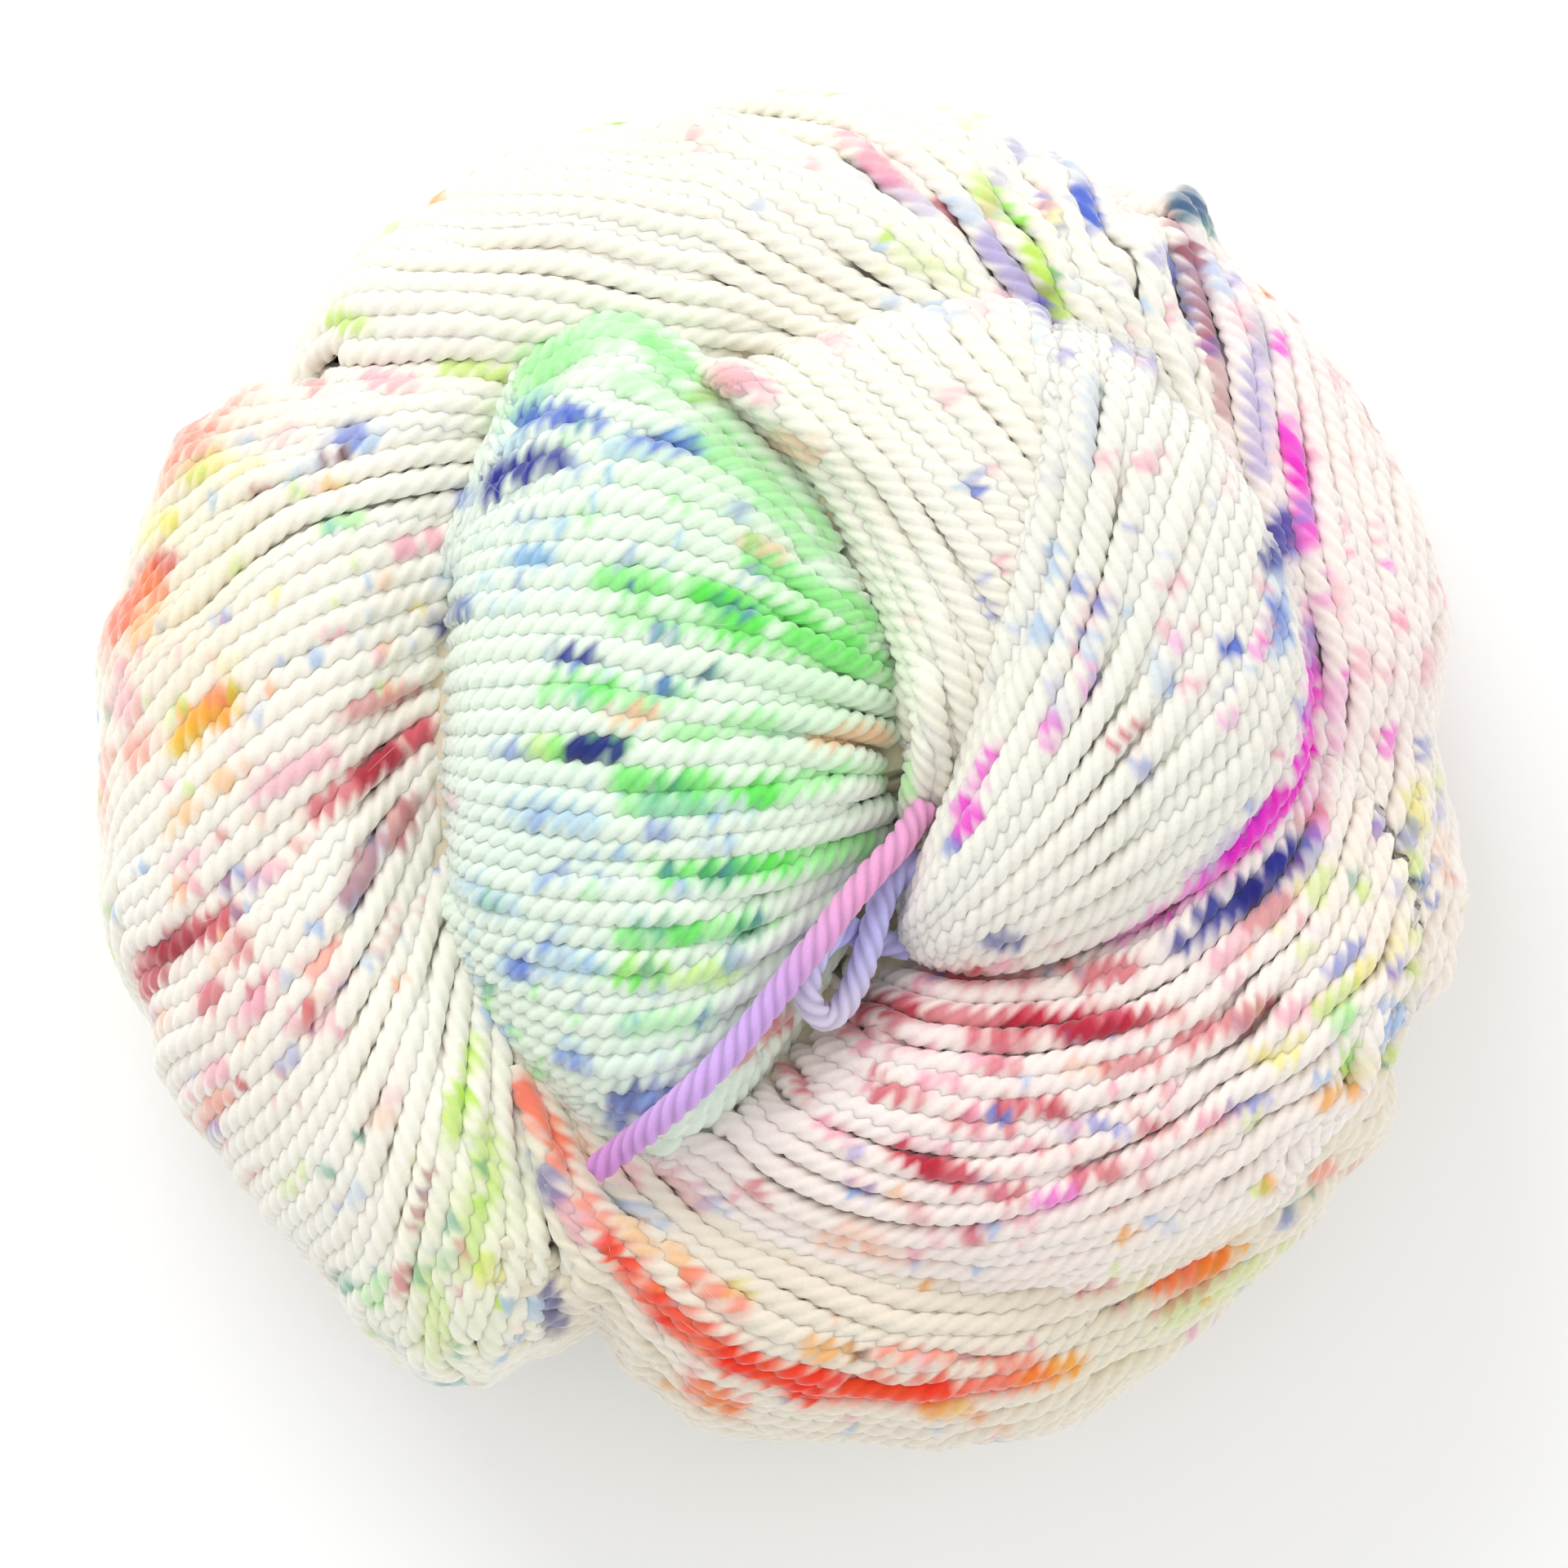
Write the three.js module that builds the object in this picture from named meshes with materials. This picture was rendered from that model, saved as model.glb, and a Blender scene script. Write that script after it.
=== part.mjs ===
// Knitting yarn: a twisted hank of hand-dyed wool, wound up into a round, flattened bun.
// The outer ring is the hank lying in a circle, and four lobes of it close the middle.
// The tie yarn that holds the hank shows as a cut tail and as a small loop.
// Units are millimetres. +Z points up from the flat spot that the bun rests on, and +Y is the
// top of the front view. Plan tables are measured from the middle of that view, which the
// exported group moves to the middle of the bun.

import * as THREE from "three";
import { mergeVertices } from "three/addons/utils/BufferGeometryUtils.js";

// Driving dimensions
const VIEW_TO_BUN = [0, -1.4, 0]; // from the middle of the plan tables to the middle of the bun
const RING = {
  crownRadius: 36, // where the upper side of the ring is highest
  restRadius: 30, // where its lower side is lowest
  middle: 23, // height of its outermost edge
  rise: 18.5, // from the middle up to the crown
  belly: 26, // from the middle down, cut off by the flat spot
  bellyRoundness: 2.6, // 2 is an ellipse, more is boxier
  hubTop: 36, // the packed yarn under the four lobes
  hubUnderRadius: 16, // the shallow dish in the middle of the underside
  hubUnderHeight: 5,
};
const BESIDE_LOBE = { sink: 3, reach: 6 }; // the ring is pressed down beside each lobe
const TUBE = 20; // depth of the ring that a crease is measured against
const TIE = { tailDiameter: 2.4, loopDiameter: 2.3, sides: 8, stepsPerMm: 0.32 };
const SKIN_DETAIL = 17;
const SKIN_CENTRE = new THREE.Vector3(0, 0, 22);
const SKIN_STRETCH = new THREE.Vector3(56, 56, 27);
const SEARCH = { outside: 80, step: 0.5, exact: 0.0005 };

// Outline of the bun seen from above: bearing in degrees, distance from the middle.
const OUTLINE = [
  [0, 54.3], [4, 53.6], [15, 56], [26, 56.4], [39, 56.8], [50, 56.5], [56, 59.1], [60, 56.9],
  [64, 57.6], [69, 56.2], [73, 57.1], [85, 56.6], [97, 57.5], [102, 56], [111, 56.6], [122, 55.8],
  [129, 55.8], [135, 55.1], [140, 54.7], [145, 55.7], [151, 57.3], [157, 56.7], [163, 56.5],
  [167, 57.3], [177, 56.3], [185, 56.2], [190, 56.9], [203, 56.7], [214, 55.5], [225, 55.1],
  [233, 56.4], [239, 57.2], [243, 55.5], [247, 51.5], [251.3, 48.4], [256, 50.3], [264, 53.6],
  [275, 53.9], [285, 56.2], [293, 57.6], [302, 56.9], [310, 56.1], [321, 56.5], [324.5, 55.9],
  [331, 57.5], [337.3, 55.6], [344, 57.8], [350, 57], [356, 55.1],
];

// Creases between the turns of the ring, from the middle out and on round the underside.
// line: bearing, and roll round the ring (90 crown, 0 outermost edge, -90 lowest), in degrees.
const CREASES = [
  {
    name: "top ring and left fan", depth: 3.4, width: 3.4,
    line: [[122, 83], [131, 61], [137, 35], [140, 0], [152, -45], [168, -90], [182, -125]],
  },
  {
    name: "top ring and right ring", depth: 2.6, width: 3,
    line: [[59, 72], [68, 63], [74, 56], [78, 47], [88, 29], [98, 0], [112, -45], [128, -90],
      [141, -125]],
  },
  {
    name: "right ring", depth: 2.6, width: 3,
    line: [[40, 60], [45, 49], [49, 35], [55, 27], [62, 0], [75, -45], [92, -90], [104, -125]],
  },
  {
    name: "right side, underneath", depth: 2.6, width: 3.4,
    line: [[10, -25], [22, -60], [40, -105], [50, -125]],
  },
  {
    name: "red lobe and bottom ring", depth: 4.2, width: 3.4,
    line: [[284, 78], [290, 69], [298, 60], [308, 51], [315, 42], [326, 33], [337, 0], [350, -45],
      [365, -90], [377, -125]],
  },
  {
    name: "bottom ring, underneath", depth: 2.6, width: 3.4,
    line: [[296, -25], [308, -60], [326, -105], [336, -125]],
  },
  {
    name: "left fan and bottom ring", depth: 3.6, width: 3.4,
    line: [[225, 105], [234, 88], [242, 69], [247, 36], [251, 0], [262, -45], [275, -90],
      [287, -125]],
  },
  {
    name: "left fan", depth: 1.8, width: 3,
    line: [[174, 106], [182, 90], [189, 72], [195, 49], [200, 5], [212, -45], [225, -90],
      [237, -125]],
  },
];

// The lobes: foot and crown heights, how boxy the crown is, how the foot leans in x and y
// (mm per mm), the middle, and the outline in plan, counterclockwise.
const LOBES = [
  {
    name: "green lobe", foot: 35, crown: 52.5, roundness: 2.2, lean: [0, 0], middle: [-10, 4],
    outline: [[-14.5, 38.3], [-21.5, 33.8], [-26.5, 22], [-29.6, 6], [-28, -9], [-22.5, -20],
      [-13.5, -29], [-7, -29.3], [0, -21.5], [6.5, -9.5], [10.5, 1], [8.5, 14.5], [1.5, 26.5],
      [-8, 36]],
  },
  {
    name: "second lobe", foot: 37, crown: 49, roundness: 2.4, lean: [0, 0], middle: [13, 22],
    outline: [[27, 30], [22.5, 37.5], [15, 40], [5, 38.6], [-4, 36], [-9, 34.6], [-4, 30.6],
      [2.5, 23.5], [7.5, 13], [9.5, 4], [10.5, -4], [16, 0], [23, 10], [27, 20]],
  },
  {
    name: "third lobe", foot: 36.5, crown: 51.5, roundness: 3, lean: [-0.12, 0], middle: [28, 14],
    outline: [[43.5, 8], [42, 18], [38, 27.5], [31, 34], [25, 37.3], [21.4, 35.5], [20.6, 25],
      [18, 13], [15.6, 2.5], [13.2, -6.5], [13.2, -13.6], [18, -15.2], [27, -12.8], [36.5, -7], [42, 0]],
  },
  {
    name: "red lobe", foot: 34, crown: 46, roundness: 2.2, lean: [0, 0], middle: [20, -24],
    outline: [[52, -12], [45, 2], [33, -6.5], [20, -11.5], [11, -13.2], [4.5, -17.8], [-4, -24.5],
      [-11, -29.5], [-5, -35], [4, -38.5], [13, -41], [22, -41.6], [31, -39], [40, -33.5],
      [48, -25]],
  },
];

// Routes of the tie yarn in x, y, z: the cut tail, and the loop whose two ends go into the bun.
const TIE_TAIL = [
  [10.4, -3.2, 43.8], [9.7, -4.2, 45], [9, -5.2, 45.9], [7, -7.3, 46.9], [4.5, -10.3, 47.8],
  [3.3, -12, 48.1], [2, -13.6, 48.2], [-0.5, -16.8, 47.6], [-3, -20, 47.3], [-5.5, -22.8, 47.3],
  [-6.8, -24.1, 47.1], [-8, -25.2, 46.7], [-10.5, -27.4, 44.9], [-11.8, -28.5, 43.4],
  [-13, -29.4, 42.1], [-15.2, -31.2, 40.8],
];
const TIE_LOOP = [
  [10.5, -6.5, 43.4], [9.5, -7.1, 43.4], [8.3, -8.5, 43.8], [7.8, -9.8, 44.3], [7.4, -11, 44.6],
  [6.7, -13.5, 44.4], [5.8, -16, 43.6], [4.6, -18.1, 43.2], [3.7, -18.7, 43.3], [2.9, -18.7, 43.6],
  [1.9, -17.2, 44.5], [2.1, -14.9, 45.3], [3.2, -12.8, 45.3], [5, -11.8, 43.2], [6.1, -12.2, 41.4],
  [7.2, -12.6, 40.2], [8.9, -12.9, 39.9],
];

const MATERIALS = {
  hank: new THREE.MeshStandardMaterial({ color: 0xf6f2e2, roughness: 0.9, metalness: 0 }),
  tail: new THREE.MeshStandardMaterial({ color: 0xeebbe0, roughness: 0.85, metalness: 0 }),
  loop: new THREE.MeshStandardMaterial({ color: 0xd9d2f5, roughness: 0.85, metalness: 0 }),
};

const degrees = (radians) => THREE.MathUtils.radToDeg(radians);
const smooth = (t) => t * t * (3 - 2 * t);

// The reading of a table of [angle, value] rows that closes on itself after 360 degrees.
function readRound(table, angle) {
  const at = THREE.MathUtils.euclideanModulo(angle, 360);
  const next = table.findIndex((row) => row[0] > at);
  const [a, b] = [table.at(next < 0 ? -1 : next - 1), table[Math.max(next, 0)]];
  const from = a[0] > at ? a[0] - 360 : a[0];
  const to = b[0] <= at ? b[0] + 360 : b[0];
  return THREE.MathUtils.lerp(a[1], b[1], smooth((at - from) / (to - from)));
}

// Distance in mm, measured over the ring, from a bearing and roll to a crease.
function distanceToCrease(line, bearing, roll) {
  const across = THREE.MathUtils.degToRad(RING.crownRadius + TUBE / 2);
  const round = THREE.MathUtils.degToRad(TUBE);
  let nearest = Infinity;
  for (const turn of [-360, 0, 360]) {
    const p = new THREE.Vector2((bearing + turn) * across, roll * round);
    for (let i = 1; i < line.length; i++) {
      const a = new THREE.Vector2(line[i - 1][0] * across, line[i - 1][1] * round);
      const b = new THREE.Vector2(line[i][0] * across, line[i][1] * round);
      const along = b.clone().sub(a);
      const share = THREE.MathUtils.clamp(p.clone().sub(a).dot(along) / along.lengthSq(), 0, 1);
      nearest = Math.min(nearest, p.distanceTo(a.addScaledVector(along, share)));
    }
  }
  return nearest;
}

// How far the creases sink the ring at a bearing and roll.
function creaseDepth(bearing, roll) {
  let depth = 0;
  for (const crease of CREASES) {
    const away = distanceToCrease(crease.line, bearing, roll) / crease.width;
    depth = Math.max(depth, crease.depth * Math.exp(-away * away));
  }
  return depth;
}

// A lobe with its outline worked out as [angle, radius] rows round its middle.
function makeLobe(row) {
  const corners = row.outline.map(([x, y]) => new THREE.Vector3(x, y, 0));
  const curve = new THREE.CatmullRomCurve3(corners, true, "centripetal");
  const rows = curve.getPoints(corners.length * 12).slice(1).map((p) => {
    const [x, y] = [p.x - row.middle[0], p.y - row.middle[1]];
    return [THREE.MathUtils.euclideanModulo(degrees(Math.atan2(y, x)), 360), Math.hypot(x, y)];
  });
  return { ...row, rim: rows.sort((a, b) => a[0] - b[0]) };
}

const lobes = LOBES.map(makeLobe);

// How far out a plan point is in a lobe: 0 at its middle, 1 on its outline.
function shareOut(lobe, x, y) {
  const [dx, dy] = [x - lobe.middle[0], y - lobe.middle[1]];
  return Math.hypot(dx, dy) / readRound(lobe.rim, degrees(Math.atan2(dy, dx)));
}

// Height of a lobe's crown over a plan point, or -Infinity outside its outline.
function lobeHeight(lobe, x, y) {
  const out = shareOut(lobe, x, y);
  if (out >= 1) return -Infinity;
  const n = lobe.roundness;
  const foot =
    lobe.foot + lobe.lean[0] * (x - lobe.middle[0]) + lobe.lean[1] * (y - lobe.middle[1]);
  return foot + (lobe.crown - lobe.foot) * (1 - out ** n) ** (1 / n);
}

// How far the ring is pressed down beside the lobes.
function pressedDown(x, y) {
  let depth = 0;
  for (const lobe of lobes) {
    const out = shareOut(lobe, x, y);
    const away = (Math.max(out - 1, 0) * Math.hypot(x - lobe.middle[0], y - lobe.middle[1])) / out;
    depth = Math.max(depth, BESIDE_LOBE.sink * Math.exp(-((away / BESIDE_LOBE.reach) ** 2)));
  }
  return depth;
}

function insideRing(x, y, z) {
  const radius = Math.hypot(x, y);
  const bearing = degrees(Math.atan2(y, x));
  const edge = readRound(OUTLINE, bearing);
  const upper = z >= RING.middle;
  const centre = upper ? RING.crownRadius : RING.restRadius;
  const out = (radius - centre) / (edge - centre);
  const up = (z - RING.middle) / (upper ? RING.rise : RING.belly);
  const n = upper ? 2 : RING.bellyRoundness;
  let sink = creaseDepth(bearing, degrees(Math.atan2(up, out)));
  if (upper) sink = Math.max(sink, pressedDown(x, y) * up);
  return Math.abs(out) ** n + Math.abs(up) ** n <= (1 - sink / TUBE) ** n;
}

function insideHub(x, y, z) {
  const radius = Math.hypot(x, y);
  if (z >= RING.middle) return radius < RING.crownRadius && z < RING.hubTop;
  const dish = RING.hubUnderHeight * (1 - (radius / RING.hubUnderRadius) ** 2);
  return radius < RING.hubUnderRadius && z > dish;
}

function insideBun({ x, y, z }) {
  if (z < 0) return false;
  if (insideHub(x, y, z) || insideRing(x, y, z)) return true;
  return z > RING.middle && lobes.some((lobe) => z <= lobeHeight(lobe, x, y));
}

// The bun's surface in a direction from its centre.
function surfacePoint(direction) {
  const at = (t) => SKIN_CENTRE.clone().addScaledVector(direction, t);
  let outer = SEARCH.outside;
  while (!insideBun(at(outer - SEARCH.step))) outer -= SEARCH.step;
  let inner = outer - SEARCH.step;
  while (outer - inner > SEARCH.exact) {
    const middle = (inner + outer) / 2;
    if (insideBun(at(middle))) inner = middle;
    else outer = middle;
  }
  const point = at(inner);
  if (point.z < SEARCH.exact * 4) point.z = 0;
  return point;
}

// The wound bun as one closed skin.
function bunGeometry() {
  const ball = new THREE.IcosahedronGeometry(1, SKIN_DETAIL);
  ball.deleteAttribute("normal");
  ball.deleteAttribute("uv");
  const skin = mergeVertices(ball, 1e-4);
  const places = skin.getAttribute("position");
  const direction = new THREE.Vector3();
  for (let i = 0; i < places.count; i++) {
    direction.fromBufferAttribute(places, i).multiply(SKIN_STRETCH).normalize();
    const point = surfacePoint(direction);
    places.setXYZ(i, point.x, point.y, point.z);
  }
  skin.computeVertexNormals();
  return skin;
}

// A round cord along a route.
function cordGeometry(route, diameter) {
  const path = new THREE.CatmullRomCurve3(route.map((p) => new THREE.Vector3(...p)));
  const section = new THREE.Shape();
  for (let i = 0; i < TIE.sides; i++) {
    const turn = (2 * Math.PI * i) / TIE.sides;
    const [x, y] = [Math.cos(turn), Math.sin(turn)].map((v) => (v * diameter) / 2);
    if (i === 0) section.moveTo(x, y);
    else section.lineTo(x, y);
  }
  section.closePath();
  const steps = Math.ceil(path.getLength() * TIE.stepsPerMm);
  return new THREE.ExtrudeGeometry(section, { steps, extrudePath: path, bevelEnabled: false });
}

function named(name, geometry, material) {
  const mesh = new THREE.Mesh(geometry, material);
  mesh.name = name;
  return mesh;
}

const yarn = new THREE.Group();
yarn.add(
  named("hank", bunGeometry(), MATERIALS.hank),
  named("tie_tail", cordGeometry(TIE_TAIL, TIE.tailDiameter), MATERIALS.tail),
  named("tie_loop", cordGeometry(TIE_LOOP, TIE.loopDiameter), MATERIALS.loop),
);
yarn.position.set(...VIEW_TO_BUN);

export default yarn;
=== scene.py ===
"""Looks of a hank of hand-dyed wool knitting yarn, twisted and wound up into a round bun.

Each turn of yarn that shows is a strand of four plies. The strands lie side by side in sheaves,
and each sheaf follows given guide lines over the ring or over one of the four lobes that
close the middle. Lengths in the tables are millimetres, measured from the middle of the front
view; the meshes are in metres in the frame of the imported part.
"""

from __future__ import annotations

import logging
import math
from collections.abc import Iterable, Sequence
from dataclasses import dataclass
from enum import Enum

import bpy
import numpy as np
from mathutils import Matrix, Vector

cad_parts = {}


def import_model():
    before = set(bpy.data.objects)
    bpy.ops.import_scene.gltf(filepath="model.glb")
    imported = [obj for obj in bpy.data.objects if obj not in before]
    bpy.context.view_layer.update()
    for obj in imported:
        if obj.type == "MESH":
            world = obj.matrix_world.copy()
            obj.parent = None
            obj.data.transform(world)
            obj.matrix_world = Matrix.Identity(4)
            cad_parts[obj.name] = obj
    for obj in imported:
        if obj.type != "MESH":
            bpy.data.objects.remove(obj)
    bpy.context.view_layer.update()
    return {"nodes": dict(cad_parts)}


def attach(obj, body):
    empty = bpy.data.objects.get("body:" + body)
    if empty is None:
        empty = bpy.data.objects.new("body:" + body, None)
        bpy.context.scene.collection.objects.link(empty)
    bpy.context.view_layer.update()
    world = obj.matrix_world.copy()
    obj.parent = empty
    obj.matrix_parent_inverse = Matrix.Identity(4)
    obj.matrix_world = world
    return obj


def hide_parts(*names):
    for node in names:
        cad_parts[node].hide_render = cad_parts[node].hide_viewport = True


LOG = logging.getLogger("knitting_yarn")
MM = 0.001
VIEW_TO_BUN = np.array([0.0, -1.4, 0.0])  # from the middle of the front view to the bun's middle
BODY = "root"
DYE_LAYER = "dye"  # the colour attribute that every wool mesh carries
CORE_NAME = "packed_yarn_core"

Plan = Sequence[tuple[float, float]]
Route = Sequence[tuple[float, float, float]]


@dataclass(frozen=True)
class RingShape:
    """Section of the ring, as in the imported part."""

    crown_radius: float = 36
    rest_radius: float = 30
    middle: float = 23
    rise: float = 18.5
    belly: float = 26
    belly_roundness: float = 2.6
    tube: float = 20  # depth that a crease is measured against
    hub_top: float = 35
    dish_radius: float = 16
    dish_height: float = 5
    lobe_sink: float = 3
    lobe_reach: float = 6


# Outline of the bun seen from above: bearing in degrees, distance from the middle.
OUTLINE = (
    (0, 54.3), (4, 53.6), (15, 56), (26, 56.4), (39, 56.8), (50, 56.5), (56, 59.1), (60, 56.9),
    (64, 57.6), (69, 56.2), (73, 57.1), (85, 56.6), (97, 57.5), (102, 56), (111, 56.6),
    (122, 55.8), (129, 55.8), (135, 55.1), (140, 54.7), (145, 55.7), (151, 57.3), (157, 56.7),
    (163, 56.5), (167, 57.3), (177, 56.3), (185, 56.2), (190, 56.9), (203, 56.7), (214, 55.5),
    (225, 55.1), (233, 56.4), (239, 57.2), (243, 55.5), (247, 51.5), (251.3, 48.4), (256, 50.3),
    (264, 53.6), (275, 53.9), (285, 56.2), (293, 57.6), (302, 56.9), (310, 56.1), (321, 56.5),
    (324.5, 55.9), (331, 57.5), (337.3, 55.6), (344, 57.8), (350, 57), (356, 55.1),
)


@dataclass(frozen=True)
class Crease:
    """A crease between two turns of the ring: its line in bearing and roll, in degrees."""

    depth: float
    width: float
    line: Plan


CREASES = (
    Crease(3.4, 3.4, ((122, 83), (131, 61), (137, 35), (140, 0), (152, -45), (168, -90), (182, -125))),
    Crease(2.6, 3, ((59, 72), (68, 63), (74, 56), (78, 47), (88, 29), (98, 0), (112, -45),
                    (128, -90), (141, -125))),
    Crease(2.6, 3, ((40, 60), (45, 49), (49, 35), (55, 27), (62, 0), (75, -45), (92, -90), (104, -125))),
    Crease(2.6, 3.4, ((10, -25), (22, -60), (40, -105), (50, -125))),
    Crease(4.2, 3.4, ((284, 78), (290, 69), (298, 60), (308, 51), (315, 42), (326, 33), (337, 0),
                      (350, -45), (365, -90), (377, -125))),
    Crease(2.6, 3.4, ((296, -25), (308, -60), (326, -105), (336, -125))),
    Crease(3.6, 3.4, ((225, 105), (234, 88), (242, 69), (247, 36), (251, 0), (262, -45), (275, -90),
                      (287, -125))),
    Crease(1.8, 3, ((174, 106), (182, 90), (189, 72), (195, 49), (200, 5), (212, -45), (225, -90),
                    (237, -125))),
)


@dataclass(frozen=True)
class LobeShape:
    """One of the four lobes: foot and crown heights, roundness, lean in x, middle and outline."""

    foot: float
    crown: float
    roundness: float
    lean: float
    middle: tuple[float, float]
    outline: Plan


GREEN_LOBE = LobeShape(35, 52.5, 2.2, 0, (-10, 4), (
    (-14.5, 38.3), (-21.5, 33.8), (-26.5, 22), (-29.6, 6), (-28, -9), (-22.5, -20), (-13.5, -29),
    (-7, -29.3), (0, -21.5), (6.5, -9.5), (10.5, 1), (8.5, 14.5), (1.5, 26.5), (-8, 36)))
SECOND_LOBE = LobeShape(37, 49, 2.4, 0, (13, 22), (
    (27, 30), (22.5, 37.5), (15, 40), (5, 38.6), (-4, 36), (-9, 34.6), (-4, 30.6), (2.5, 23.5),
    (7.5, 13), (9.5, 4), (10.5, -4), (16, 0), (23, 10), (27, 20)))
THIRD_LOBE = LobeShape(36.5, 51.5, 3, -0.12, (28, 14), (
    (43.5, 8), (42, 18), (38, 27.5), (31, 34), (25, 37.3), (21.4, 35.5), (20.6, 25), (17.6, 13),
    (14.2, 2.5), (10.9, -6.5), (10.3, -13), (17, -15.4), (27, -13), (36.5, -7.2), (42, 0)))
RED_LOBE = LobeShape(34, 46, 2.2, 0, (20, -24), (
    (52, -12), (45, 2), (33, -6.5), (20, -11.5), (11, -13.2), (4.5, -17.8), (-4, -24.5),
    (-11, -29.5), (-5, -35), (4, -38.5), (13, -41), (22, -41.6), (31, -39), (40, -33.5), (48, -25)))
LOBES = (GREEN_LOBE, SECOND_LOBE, THIRD_LOBE, RED_LOBE)


class Finish(Enum):
    """Undyed and background colours of the yarn, sRGB, and two darker beiges that are painted shade."""

    CREAM = "#fbf7ea"
    MINT = "#ecfbe8"
    BLUSH = "#fcf2ea"
    IVORY = "#f4f2e7"
    # painted shade: a darker beige for the bottom ring and the red lobe's side, which face away from the
    # light
    PAINTED_SHADE_BEIGE = "#f0e7d6"
    # painted shade: the packed yarn inside is real, its darker beige stands for the shade in the gaps
    # between strands
    CORE_PAINTED_SHADE = "#e2d7bd"
    TAIL_PINK = "#efa9d8"
    TAIL_LILAC = "#d7aeee"
    TAIL_MAUVE = "#d68fd2"
    LOOP_LILAC = "#c9c7fb"
    LOOP_PALE = "#e2d9f0"
    FLOOR = "#fcfcfc"


class Ink(Enum):
    """Dyes of the speckles and streaks, sRGB as they look on the cream wool."""

    FLAME = "#ff5326"
    AMBER = "#ffb129"
    YELLOW = "#f3ee4e"
    LIME = "#c4ef45"
    GREEN = "#6fee62"
    TEAL = "#2ba58f"
    SKY = "#8fbdf4"
    BLUE = "#3d66dc"
    NAVY = "#27309f"
    VIOLET = "#8f7fe0"
    MAGENTA = "#f634de"
    PINK = "#f79fc0"
    CRIMSON = "#d22c50"
    WINE = "#a8304a"
    BROWN = "#6f3b34"
    PEACH = "#ffb98f"


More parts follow.
